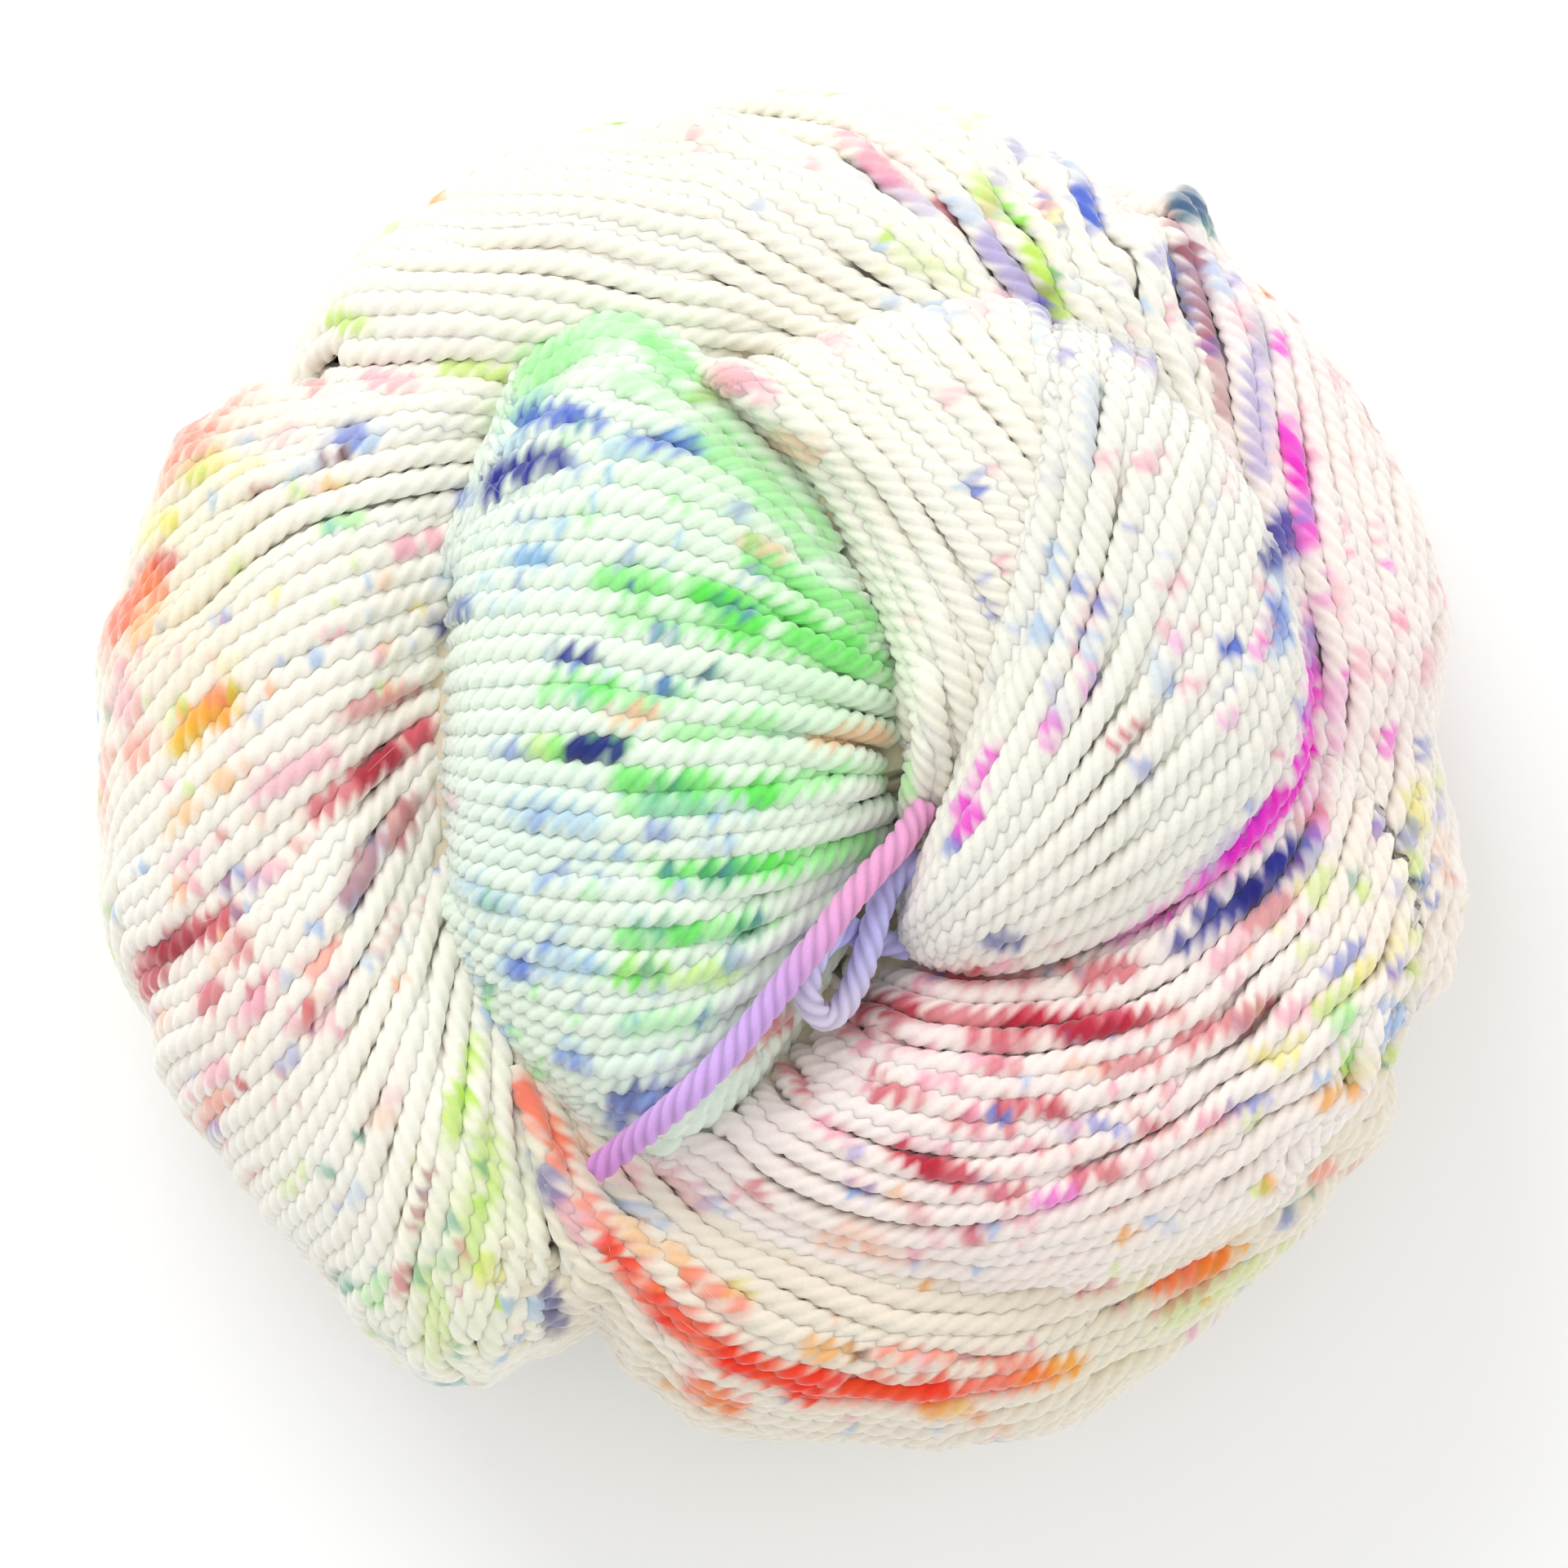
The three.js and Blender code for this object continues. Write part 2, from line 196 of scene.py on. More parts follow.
# Dye marks on the upper side. Each row: from x, y to x, y, half width, strength.
MARKS: dict[Ink, tuple[tuple[float, ...], ...]] = {
    Ink.FLAME: (
        (-21, -25, -18, -30.5, 0.9, 0.8), (-16, -34, -13.5, -38, 0.9, 0.6),
        (-13.5, -38, -9, -43, 1.1, 0.9), (-9, -43, -4, -46.6, 1.2, 0.95), (-4, -46.6, 2, -48.8, 1.2, 1),
        (2, -48.8, 12, -49.4, 1.4, 1), (12, -49.3, 20, -48.2, 1, 0.8), (8, -46, 20, -46.8, 0.6, 0.6),
        (31, -40.5, 35, -38.8, 0.9, 0.8), (-52, 16, -55, 12.5, 1.6, 0.75),
        (-50.5, 26, -45, 32, 1.2, 0.45), (-52, 3, -52, 3, 1.2, 0.5), (-55.5, 2, -55.8, -3, 1, 0.6),
        (-37, -14, -37.5, -14.6, 0.8, 0.5), (-46, -25.5, -46.5, -27, 0.8, 0.55),
        (-7.5, -40.3, -4, -42, 0.8, 0.65), (-7, -49, -4, -50.2, 0.9, 0.65),
        (43, -32, 43.4, -31.6, 0.7, 0.5),
    ),
    Ink.AMBER: (
        (-47.6, 5, -46.2, 6, 1.5, 0.95), (-49, -2.5, -49, -2.5, 1, 0.55), (-45, 0.5, -45, 0.5, 1, 0.5),
        (44, -25.5, 46, -24.6, 0.9, 0.8), (34.6, -39, 36.8, -37.6, 0.8, 0.8),
        (20, -48.3, 23, -47.4, 0.9, 0.9), (2.5, -45.8, 5.2, -46.2, 0.8, 0.7), (-51, 17, -51, 17, 1, 0.5),
        (-52, 12.5, -51.5, 14, 1, 0.5), (-12.5, -36, -11, -37.5, 0.8, 0.5),
        (-9, -38, -8.6, -38.3, 0.7, 0.5), (12, -50.7, 14, -50.6, 0.8, 0.6),
        (-6, -49.6, -4.4, -50.4, 0.7, 0.6), (29.5, -41, 31.5, -40.3, 0.7, 0.6),
        (-51, 24, -50, 26, 1.2, 0.3),
    ),
    Ink.YELLOW: (
        (-46.5, 26, -46.5, 26, 1.2, 0.5), (-50.5, 21, -50.5, 21, 1.2, 0.45),
        (-48.5, 3.6, -47.6, 4.2, 0.9, 0.7), (47, -23, 47, -23, 0.8, 0.7),
        (40, -22.2, 41, -21.6, 0.8, 0.6), (47, -15.5, 47.2, -15, 0.8, 0.6),
        (51.3, -3, 51.2, -1.5, 0.9, 0.6), (-4.3, -41, -3.6, -41.2, 0.7, 0.5),
        (12, -50.4, 14, -50.3, 0.6, 0.4), (22, 46, 22, 46, 0.8, 0.4),
        (-24.5, -38.5, -24.3, -39.5, 0.8, 0.5), (49, -13.4, 50, -12.6, 0.8, 0.5),
    ),
    Ink.LIME: (
        (-35.8, 37.9, -34.2, 37.5, 0.8, 0.75), (-27, 33.9, -22.8, 33.2, 0.8, 0.65),
        (-19.4, 2.7, -18.6, 2.7, 0.9, 0.6), (-12, -15.2, -5, -15.4, 1, 0.6),
        (-25.3, -22, -25.8, -25, 0.9, 0.8), (-26.5, -25.6, -26.8, -27.5, 0.9, 0.7),
        (-24, -29, -24.2, -32, 1.2, 0.6), (-25, -35, -25.2, -38, 1.2, 0.5),
        (-29, -40, -28, -44.5, 1.2, 0.4), (16.3, 48, 18.7, 45.8, 0.9, 0.8),
        (20.7, 42.8, 22, 39, 0.9, 0.9), (10, 43, 14, 41, 0.9, 0.3), (44, -18, 45, -17.2, 0.9, 0.6),
        (43.5, -9, 43.5, -8, 0.8, 0.5), (51, -8, 51, -7, 0.8, 0.5), (53.2, 0, 53.2, 2, 0.8, 0.5),
        (33, -42, 37, -39.8, 1.4, 0.35), (45.5, -22.6, 46.4, -21.8, 0.8, 0.6),
    ),
    Ink.GREEN: (
        (-14, 16.2, -6, 15, 1.1, 0.75), (-6, 15, 5, 11.2, 1.2, 0.85), (-2, 17.5, 6, 13.4, 1.1, 0.7),
        (-12.5, 13.2, -4, 12.2, 1, 0.5), (-4, 12.2, 7, 9.4, 1.1, 0.75), (-18.5, 7.4, -15, 7.6, 1, 0.6),
        (-15, 7.2, -9, 7, 1, 0.55), (-8, 3.8, -2, 4.6, 0.9, 0.5), (-17, 2.6, -14, 3, 1, 0.7),
        (-12, 0.2, -2, -0.8, 1.1, 0.85), (-2, -0.8, 5, 0.8, 1, 0.6), (-12, -1.9, -7, -2, 0.8, 0.6),
        (-9, -7.4, -1, -6.8, 1.1, 0.85), (-1, -6.8, 6, -4.8, 1.1, 0.7), (-12, -12.2, -8, -12, 1, 0.7),
        (-8, -12, -1.5, -11.2, 0.9, 0.6), (-14, -15.4, -10, -15.2, 0.8, 0.5),
        (-12, -19.4, -7, -19, 1, 0.35), (-36.5, 21, -35, 21.2, 0.8, 0.5),
        (45, -19.2, 45.4, -18.8, 0.7, 0.6), (19, 46, 17.5, 47.2, 0.6, 0.5),
        (-33.2, -40.6, -33, -41.6, 0.7, 0.5), (-21, 30, -19, 34, 1.6, 0.35),
        (-19, 34, -13, 36.8, 1.5, 0.4), (-10, 34.5, -6.5, 31.5, 1.3, 0.55), (-5, 27, 2, 20, 1.5, 0.5),
        (-12, 32, -8, 31.6, 1, 0.3), (46, -22.2, 46, -21.8, 0.7, 0.5), (8, 0.8, 10, 0.4, 0.8, 0.5),
    ),
    Ink.TEAL: (
        (-6.2, -7.8, -5.6, -7.4, 0.8, 0.7), (-3.4, -12.1, -2.4, -11.8, 0.8, 0.9),
        (-11, -12, -9.6, -11.6, 0.8, 0.6), (-10.2, -0.6, -9, -0.4, 0.8, 0.6),
        (-5.2, -7.6, -3.8, -7, 0.7, 0.5), (21.9, 41.2, 22.1, 40.8, 0.5, 0.6),
        (-27, -35, -27, -35.4, 0.5, 0.6), (46, -8, 46, -8, 0.6, 0.5), (42, -33.5, 42.4, -33.2, 0.6, 0.6),
        (31.4, 48.6, 34.4, 46.4, 1.3, 0.8), (-7, 8.7, -6, 8.8, 0.6, 0.6), (-1, 3.8, 0.5, 4.2, 0.8, 0.3),
    ),
    Ink.SKY: (
        (-33.6, 27.6, -33, 28.6, 0.7, 0.6), (-20.6, 17.9, -19.4, 18.1, 0.8, 0.9),
        (12, 38.4, 13.2, 38.2, 0.7, 0.5), (14, 46.8, 15, 46.2, 0.7, 0.5),
        (35.2, 41.2, 35.8, 40.6, 0.7, 0.5), (39.5, 17, 39.7, 12, 1, 0.6), (21.6, 19, 21.4, 17, 0.5, 0.6),
        (20.5, 13, 20.5, 12, 0.5, 0.6), (22, 13, 22, 12.2, 0.5, 0.5), (24.5, 11.6, 24.4, 10.4, 0.5, 0.5),
        (24.7, 8.6, 24.5, 7.4, 0.5, 0.5), (24.5, 32, 24.5, 26, 0.6, 0.3),
        (5.6, -32.8, 6.2, -32.8, 0.7, 0.9), (48.3, -19.6, 49.3, -18.4, 1, 0.8),
        (-12, -34.6, -10.4, -35.4, 0.7, 0.5), (-14.4, -33.2, -13.6, -33.8, 0.6, 0.5),
        (-6.4, -33.8, -5.4, -34.4, 0.6, 0.4), (-10, -2, -4, -2.2, 0.9, 0.35),
        (-20, -2.4, -16, -3.2, 1.1, 0.5), (-25, -8, -22, -10, 0.8, 0.4), (-22, -15, -17, -14.6, 1, 0.5),
        (-13, 26.8, -8, 27.4, 1, 0.5), (-22, 27, -20, 30.4, 1, 0.4), (-40, 24.6, -36, 26.8, 0.7, 0.4),
        (-27.6, 17, -26.6, 16.6, 0.8, 0.4), (50.4, -4.8, 50.6, -4, 0.7, 0.5),
        (29.6, 10, 30.6, 8, 0.6, 0.3),
    ),
    Ink.BLUE: (
        (-36.4, 27.6, -34.6, 28.3, 0.6, 0.7), (-20.2, 29.4, -17.4, 29.4, 0.9, 0.85),
        (-16.6, 29, -15.4, 29, 0.7, 0.7), (-11.6, 27.4, -8, 27, 0.6, 0.7),
        (-25.8, 23.2, -25.2, 22.8, 0.6, 0.6), (-20.6, 21, -19.4, 21, 0.6, 0.4),
        (-16.8, 10, -16.2, 10, 0.6, 0.7), (-10.4, 7.5, -9.6, 7.5, 0.7, 0.8),
        (-21.8, 2.5, -21.2, 2.5, 0.6, 0.6), (-10.4, -4, -9.4, -4, 0.6, 0.6),
        (-6.2, -5, -5.4, -5, 0.5, 0.5), (-19, -7.6, -18, -7.4, 0.6, 0.5),
        (-23.8, -10, -23.2, -10.2, 0.5, 0.5), (-19.4, -13, -18.4, -13, 0.6, 0.6),
        (-21, -15.2, -20, -15, 0.6, 0.7), (-24.2, -16, -23.6, -16.2, 0.5, 0.6),
        (-17.4, -22, -16.4, -22.2, 0.7, 0.7), (-13.4, -26.8, -9.6, -24.8, 0.8, 0.7),
        (24.2, 47.4, 25, 46, 0.8, 0.95), (21.8, 52, 22.4, 51.4, 0.9, 0.6),
        (31.4, 42.2, 31.7, 41.4, 0.6, 0.8), (32.4, 39.2, 32.8, 37.6, 0.6, 0.7),
        (13.3, -4.6, 13.7, -5, 0.4, 0.7), (35.3, 11, 35.7, 10.4, 0.6, 0.9),
        (28.4, 1.6, 28.6, 1.2, 0.5, 0.5), (37.3, -1.4, 37.7, -1.8, 0.5, 0.5),
        (42, -5, 42.4, -4.4, 0.8, 0.7), (17.2, -26.9, 17.8, -27.1, 0.5, 0.8),
        (24.6, -27.4, 27.2, -28, 0.5, 0.6), (38.2, -25.6, 36.2, -26.2, 0.6, 0.6),
        (44.5, -15, 46.4, -13.4, 0.6, 0.6), (48, -3.8, 48, -3.2, 0.5, 0.7),
        (53.2, -2.4, 53.3, -1.6, 0.5, 0.6), (-44.4, -7.2, -44.7, -7.8, 0.6, 0.6),
        (-46.4, -27.6, -46.7, -28.6, 0.6, 0.5), (-40, -21.6, -40.2, -22.4, 0.6, 0.5),
        (-8.8, -8.6, -8, -8.6, 0.5, 0.5), (41.4, 6.2, 41.6, 5.4, 0.5, 0.5),
        (40.3, -35.4, 40.9, -35, 0.6, 0.6), (39.2, 14.4, 39.6, 12.6, 0.7, 0.7),
        (52, 3.2, 52, 2.6, 0.5, 0.6), (-28.2, -6, -28, -6.6, 0.4, 0.6),
    ),
    Ink.NAVY: (
        (-22.4, 24.4, -19.4, 25.8, 1.3, 1), (-27.4, 13.3, -26.2, 13.8, 0.9, 0.85),
        (-16, 2.6, -14.2, 2.8, 0.9, 1), (-17.2, 10.2, -16, 10, 0.7, 0.8), (-7, 8.4, -6, 8.5, 0.5, 0.5),
        (40.5, 20.4, 39.2, 18.4, 1, 0.9), (41, -6, 38, -8.4, 1.3, 1), (38, -8.4, 33, -12, 1.3, 0.95),
        (17.4, -12.2, 18, -12.4, 0.8, 0.8), (31.4, 48.8, 33.4, 47.4, 1.3, 0.75),
        (-19, -41.6, -19, -44, 0.8, 0.7), (-13, -25.3, -12, -24.8, 0.7, 0.8),
        (21, 38.5, 22, 36.8, 0.7, 0.5), (-19.2, -31.8, -18.8, -33, 0.7, 0.6), (38.7, 37, 39, 35, 0.8, 0.3),
    ),
    Ink.VIOLET: (
        (17, 43.2, 21, 38.8, 1, 0.65), (6, 50, 12, 46.4, 0.6, 0.35), (38.3, 34, 38.6, 26, 0.9, 0.5),
        (42.4, 12, 42.6, 10, 0.7, 0.5), (5.2, -29.6, 5.8, -29.8, 0.5, 0.5),
        (50.3, -5, 50.8, -4.2, 0.6, 0.4), (-19, -32.2, -18.6, -33, 0.8, 0.4),
        (-33, -5, -35, -9, 0.8, 0.3), (21.4, 8, 21.8, 4.8, 0.6, 0.3), (40.4, 21, 41, 19.4, 0.9, 0.7),
        (36, -4, 34, -6.6, 0.8, 0.4), (33, 44, 34.4, 38, 0.9, 0.3),
    ),
    Ink.MAGENTA: (
        (40.6, 28.4, 41.8, 25, 0.8, 0.95), (41.8, 25, 42.2, 20, 0.9, 0.75),
        (40.5, 35.7, 40.5, 35.3, 0.5, 0.8), (42.6, 8.5, 42.2, 3, 0.9, 0.85), (42.2, 3, 40, -1, 0.9, 1),
        (40, -1, 36.5, -5.6, 1.2, 1), (36.5, -5.6, 31, -10.2, 1.1, 0.9), (31, -10.2, 27, -12.6, 0.9, 0.5),
        (21.4, 4.6, 21.6, 3.8, 0.6, 0.8), (16.6, 2.2, 15.6, 0, 0.6, 0.8), (14.4, -2, 14.6, -3, 0.8, 0.9),
        (44.6, 7, 44.8, 4, 0.8, 0.3), (22.6, -33.4, 21, -33.8, 0.8, 0.7),
        (43.4, -3.6, 42.4, -2, 0.7, 0.4), (42.6, 14, 42.6, 11, 0.8, 0.3), (24.4, 9.6, 24, 7.4, 0.4, 0.4),
    ),
    Ink.PINK: (
        (-33, 32.8, -30.6, 32.6, 0.7, 0.6), (-30.6, 19.4, -29, 19.8, 0.8, 0.7),
        (-42, 0, -37.5, 2, 1, 0.55), (-49, -6, -48, -6, 0.8, 0.7), (-42.4, -7, -41.6, -7, 0.8, 0.6),
        (-42, -16, -43.2, -18.2, 0.9, 0.7), (-46, -22.6, -46.3, -23.6, 0.7, 0.6),
        (-27.8, -0.8, -27, -1.2, 0.7, 0.6), (5.6, 52.2, 8.4, 49.4, 0.8, 0.6),
        (37, 38, 37.6, 37, 0.7, 0.5), (45, 15, 45, 14.4, 0.8, 0.5), (52, 10, 52, 9, 0.7, 0.5),
        (47, 10, 47, 9.4, 0.7, 0.4), (44.4, 33.2, 44.8, 32.6, 0.6, 0.5), (-4.6, 32.4, -2.2, 31.8, 1, 0.7),
        (13, 31, 14, 31, 0.6, 0.4), (15, 38.2, 16, 38.2, 0.6, 0.4), (35, -14.2, 37, -13.4, 0.7, 0.6),
        (10.4, -21.5, 11.6, -21.5, 0.6, 0.6), (12, -24, 13, -24, 0.6, 0.6),
        (15.4, -22.5, 16.6, -22.5, 0.6, 0.6), (14.6, -36, 15.6, -36, 0.6, 0.5),
        (18, -35, 19, -35, 0.6, 0.5), (3.4, -27.6, 4.6, -28.4, 0.8, 0.7),
        (34.4, -27.2, 35.6, -26.8, 0.7, 0.7), (41, -18.6, 42, -18.2, 0.7, 0.6),
        (-17.6, -34.4, -16.4, -36, 0.9, 0.6), (-13.4, -31.2, -12.4, -32, 0.7, 0.6),
        (-9.6, -31.6, -7, -33.6, 0.8, 0.4), (3, 35.6, 4.4, 35.4, 0.6, 0.5), (-54, 7.4, -53, 6.6, 1, 0.5),
        (7, 51, 10, 48.4, 0.7, 0.4), (25, 15, 24, 12.6, 0.8, 0.3), (-46, 31.6, -50, 25.5, 1.4, 0.3),
        (-41, 28, -39.6, 28.6, 0.7, 0.3), (-37, -19, -36, -16, 0.8, 0.4),
    ),
    Ink.CRIMSON: (
        (-43, 34.4, -38, 32.4, 0.7, 0.5), (-31, 7.4, -35, 6, 0.8, 0.55), (-29.4, 4.2, -33, 1.6, 1.1, 0.9),
        (-33, 1.6, -37.5, -1.6, 1, 0.75), (-45.6, -10.8, -50, -13.2, 1, 0.85),
        (-50, -13.2, -54, -18, 1.2, 0.85), (-44, -12.8, -43.8, -13.4, 0.8, 0.6),
        (-46, -16.6, -46.2, -17.6, 0.8, 0.7), (-31, -2.4, -31.6, -4, 0.8, 0.5),
        (-38.4, -18, -38.7, -19.2, 0.7, 0.8), (-43.5, -31.6, -43.7, -32.6, 0.6, 0.5),
        (-31, -39.6, -31.2, -40.6, 0.5, 0.6), (12.8, 46.6, 14, 45.4, 0.6, 0.7),
        (28.4, 5.2, 26, 3, 0.4, 0.7), (13, -15.4, 15.4, -15.6, 1, 0.85), (18.4, -16, 19.8, -16, 0.7, 0.6),
        (25, -15.6, 27, -15.2, 1, 0.75), (6.4, -18.2, 10, -18.4, 1, 0.9),
        (5.4, -20, 6.6, -20.2, 0.7, 0.7), (11.4, -18.8, 20, -19.6, 0.8, 0.7),
        (19.6, -19.4, 27, -19.6, 1.2, 1), (27, -19.6, 31, -18.8, 0.8, 0.7),
        (15.6, -20.4, 18.4, -20.6, 0.9, 0.8), (32.6, -20.8, 38.4, -18.4, 0.9, 0.7),
        (26.6, -22.8, 30, -22.4, 0.7, 0.6), (7.6, -25, 10.4, -25.2, 0.7, 0.8),
        (18, -26, 22, -26.2, 0.7, 0.8), (9, -29.6, 11.6, -30.8, 0.9, 0.95),
        (11.6, -30.8, 14.6, -32.2, 1, 0.9), (17.4, -33, 18.8, -33.2, 0.7, 0.7),
        (29.4, -28.2, 30.8, -27.8, 0.7, 0.6), (24, -31.6, 26.6, -31.4, 0.7, 0.7),
        (0.4, -23.4, 1.6, -24.6, 0.8, 0.8), (-2.6, -32.6, -1.4, -33.6, 0.6, 0.6),
        (38.2, -10.8, 39.8, -10.2, 0.9, 0.6), (42, -3.4, 43.4, -2.4, 0.7, 0.5),
        (24.4, -41, 26, -40.8, 0.6, 0.6), (30, -43, 36, -39.6, 0.5, 0.5),
        (13.8, -27.2, 15.2, -27.4, 0.7, 0.6), (46.2, -31.8, 46.8, -31.2, 0.8, 0.6),
        (0, -19, -4, -22, 0.7, 0.7), (-52, -19.6, -52.4, -20.4, 1, 0.5),
        (-36.6, 26.6, -36.2, 26.6, 0.5, 0.5), (-50.2, 18.2, -49.8, 17.8, 0.7, 0.6),
        (16.8, -23, 18.2, -23, 0.6, 0.5),
    ),
    Ink.WINE: (
        (31, 47, 33, 43.6, 0.8, 0.55), (33, 43.6, 34.8, 37, 0.8, 0.6), (34.8, 37, 35.6, 30.5, 0.7, 0.5),
        (-34, -5.6, -35, -9, 0.9, 0.6), (-30.4, -2, -31, -4, 0.8, 0.5),
        (-48.6, -12.8, -50.4, -14.2, 1, 0.5), (-28.5, -31, -30, -35.4, 0.4, 0.6),
        (-33.4, 1.2, -31.6, 2.4, 0.7, 0.4), (22, -20, 26, -19.8, 0.7, 0.4),
        (-39, 33, -41.4, 34, 0.5, 0.6), (-42.4, 24, -41.6, 24, 0.5, 0.6), (6, -18.4, 8, -18.8, 0.7, 0.5),
    ),
    Ink.BROWN: (
        (-36.8, 26.4, -36, 26.8, 0.5, 0.8), (-40.2, 33.6, -39.8, 33.8, 0.4, 0.8),
        (5.8, -46.2, 6.2, -46.4, 0.5, 0.7), (-37, 34, -38.6, 34.2, 0.4, 0.5),
        (19, 42, 21.4, 39.8, 0.5, 0.4),
    ),
    Ink.PEACH: (
        (3, 3.4, 7, 3.6, 0.9, 0.85), (-13.4, 5.2, -11.6, 5.4, 0.8, 0.7), (-3, 19.2, -1, 18.6, 0.7, 0.6),
        (0, 28, 2, 27, 0.8, 0.5), (-19.4, -27.4, -18.6, -29, 0.9, 0.6),
        (-16.4, -29.4, -15.4, -31, 0.8, 0.5), (4, -37, 6, -37.2, 0.9, 0.5),
        (23.4, -23, 24.8, -23, 0.7, 0.4), (53.4, -6.2, 53.6, -5.4, 0.8, 0.4),
        (-45.4, 31.4, -49.4, 26.6, 1.6, 0.4), (6, -36.4, 9, -38, 1, 0.3), (-7, 31, -5, 32.4, 0.8, 0.3),
    ),
}


@dataclass(frozen=True)
class Wash:
    """A soft background tint: plan place, spread and strength."""

    ink: Ink
    x: float
    y: float
    spread: float
    strength: float


WASHES = (
    Wash(Ink.PINK, 43, 30, 10, 0.04), Wash(Ink.PINK, 45, 12, 9, 0.045), Wash(Ink.PINK, 18, -26, 14, 0.11),
    Wash(Ink.LIME, -24, -34, 5, 0.19), Wash(Ink.LIME, -26, -43, 6, 0.14), Wash(Ink.YELLOW, -50, 16, 8, 0.12),
    Wash(Ink.PEACH, -52, 12, 8, 0.15), Wash(Ink.PEACH, -46, 29, 6, 0.12), Wash(Ink.PINK, -38, 2, 7, 0.074),
    Wash(Ink.PINK, -45, -16, 8, 0.099), Wash(Ink.GREEN, 3, 8, 7, 0.19), Wash(Ink.GREEN, -4, 24, 8, 0.099),
    Wash(Ink.SKY, -22, -4, 8, 0.081), Wash(Ink.LIME, 34, -46, 9, 0.12), Wash(Ink.SKY, 38, 37, 8, 0.074),
    Wash(Ink.YELLOW, 50, -8, 8, 0.087), Wash(Ink.PINK, 20, 52, 7, 0.037), Wash(Ink.PEACH, -22, 34, 4, 0.062),
    Wash(Ink.SKY, -10, -24, 7, 0.093), Wash(Ink.LIME, -48, 24, 5, 0.062), Wash(Ink.GREEN, -10, 54, 5, 0.074),
)


@dataclass(frozen=True)
class Spray:
    """A field of small seeded speckles: middle, reach, how many, and their dyes."""

    x: float
    y: float
    reach: float
    count: int
    inks: tuple[Ink, ...]


SPRAYS = (
    Spray(-14, -12, 13, 60, (Ink.SKY, Ink.BLUE, Ink.SKY, Ink.GREEN)),
    Spray(-14, 18, 13, 44, (Ink.SKY, Ink.BLUE, Ink.SKY, Ink.GREEN)),
    Spray(18, -26, 14, 90, (Ink.CRIMSON, Ink.PINK, Ink.PINK, Ink.CRIMSON, Ink.SKY)),
    Spray(-44, 14, 15, 60, (Ink.PEACH, Ink.YELLOW, Ink.PINK, Ink.LIME, Ink.SKY)),
    Spray(-42, -16, 15, 70, (Ink.PINK, Ink.CRIMSON, Ink.SKY, Ink.PEACH)),
    Spray(-30, -38, 12, 50, (Ink.LIME, Ink.TEAL, Ink.PINK, Ink.SKY)),
    Spray(28, 44, 12, 56, (Ink.SKY, Ink.VIOLET, Ink.BLUE, Ink.PINK)),
    Spray(44, 16, 15, 56, (Ink.PINK, Ink.MAGENTA, Ink.SKY, Ink.PINK)),
    Spray(46, -16, 12, 64, (Ink.YELLOW, Ink.SKY, Ink.LIME, Ink.PINK, Ink.BLUE)),
    Spray(6, -44, 18, 40, (Ink.PINK, Ink.AMBER, Ink.SKY, Ink.PEACH)),
    Spray(38, -38, 12, 30, (Ink.AMBER, Ink.LIME, Ink.SKY, Ink.PINK)),
    Spray(24, 14, 14, 26, (Ink.SKY, Ink.PINK, Ink.BLUE)),
    Spray(4, 48, 14, 16, (Ink.PINK, Ink.SKY, Ink.LIME)),
)


class Cover(Enum):
    """What a sheaf lies on."""

    RING = "ring"
    RING_AND_LOBE = "ring and lobe"
    LOBE = "lobe"


@dataclass(frozen=True)
class Guide:
    """A given line: plan points on the upper side, then bearing and roll underneath."""

    plan: Plan = ()
    under: Plan = ()


@dataclass(frozen=True)
class Sheaf:
    """Strands that lie side by side between guide lines, from the middle out."""

    name: str
    cover: Cover
    pitch: float
    lead: float  # length of yarn in one turn of its plies
    finish: Finish
    guides: tuple[Guide, ...]
    lobe: LobeShape | None = None
    rests_on: tuple[LobeShape, ...] = ()
    borders: int = 3  # more strands beyond the outer guides, each one deeper
    deep: float = 2.5  # how far below its lobe's foot a strand still shows
    seed: int = 1


TOP_RING = Sheaf("top_ring_strands", Cover.RING, 1.95, 7.2, Finish.CREAM, (
    Guide(((3, 34.8), (0, 35), (-10, 36), (-20, 36), (-30, 36.4), (-38, 36.6)),
          ((139.5, -2), (151, -47), (167, -92), (181, -125), (193, -168))),
    Guide(((4, 36), (0, 37), (-10, 39), (-20, 41), (-30, 41), (-38, 39.5))),
    Guide(((8, 37), (0, 41), (-5, 43.5), (-15, 46), (-25, 46), (-33, 45))),
    Guide(((13, 39), (8, 41.5), (0, 46), (-10, 50), (-20, 51), (-26, 50))),
    Guide(((19, 38), (15, 42), (8, 48), (-2, 52.5), (-10, 54), (-18, 53.4))),
    Guide(((20, 38), (15, 44.5), (10, 50), (5, 54), (-1, 56)),
          ((99, 3), (113, -42), (129, -88), (142, -125), (154, -168))),
), seed=11)
UPPER_RIGHT_RING = Sheaf("upper_right_ring_strands", Cover.RING, 1.95, 7.2, Finish.CREAM, (
    Guide(((22.5, 36.5), (18.5, 42), (13.5, 48), (9, 52.3), (3, 55.6)),
          ((97, -4), (111, -48), (127, -92), (140, -125), (152, -168))),
    Guide(((29, 34), (26, 39), (22, 45), (17, 50.5), (10, 55))),
    Guide(((33.5, 32), (31, 37), (28, 42), (24, 48), (20, 52))),
    Guide(((36, 28), (35.3, 33), (34, 38), (32, 43), (28, 49)),
          ((62, -4), (74, -48), (91, -92), (103, -125), (115, -168))),
), seed=12)
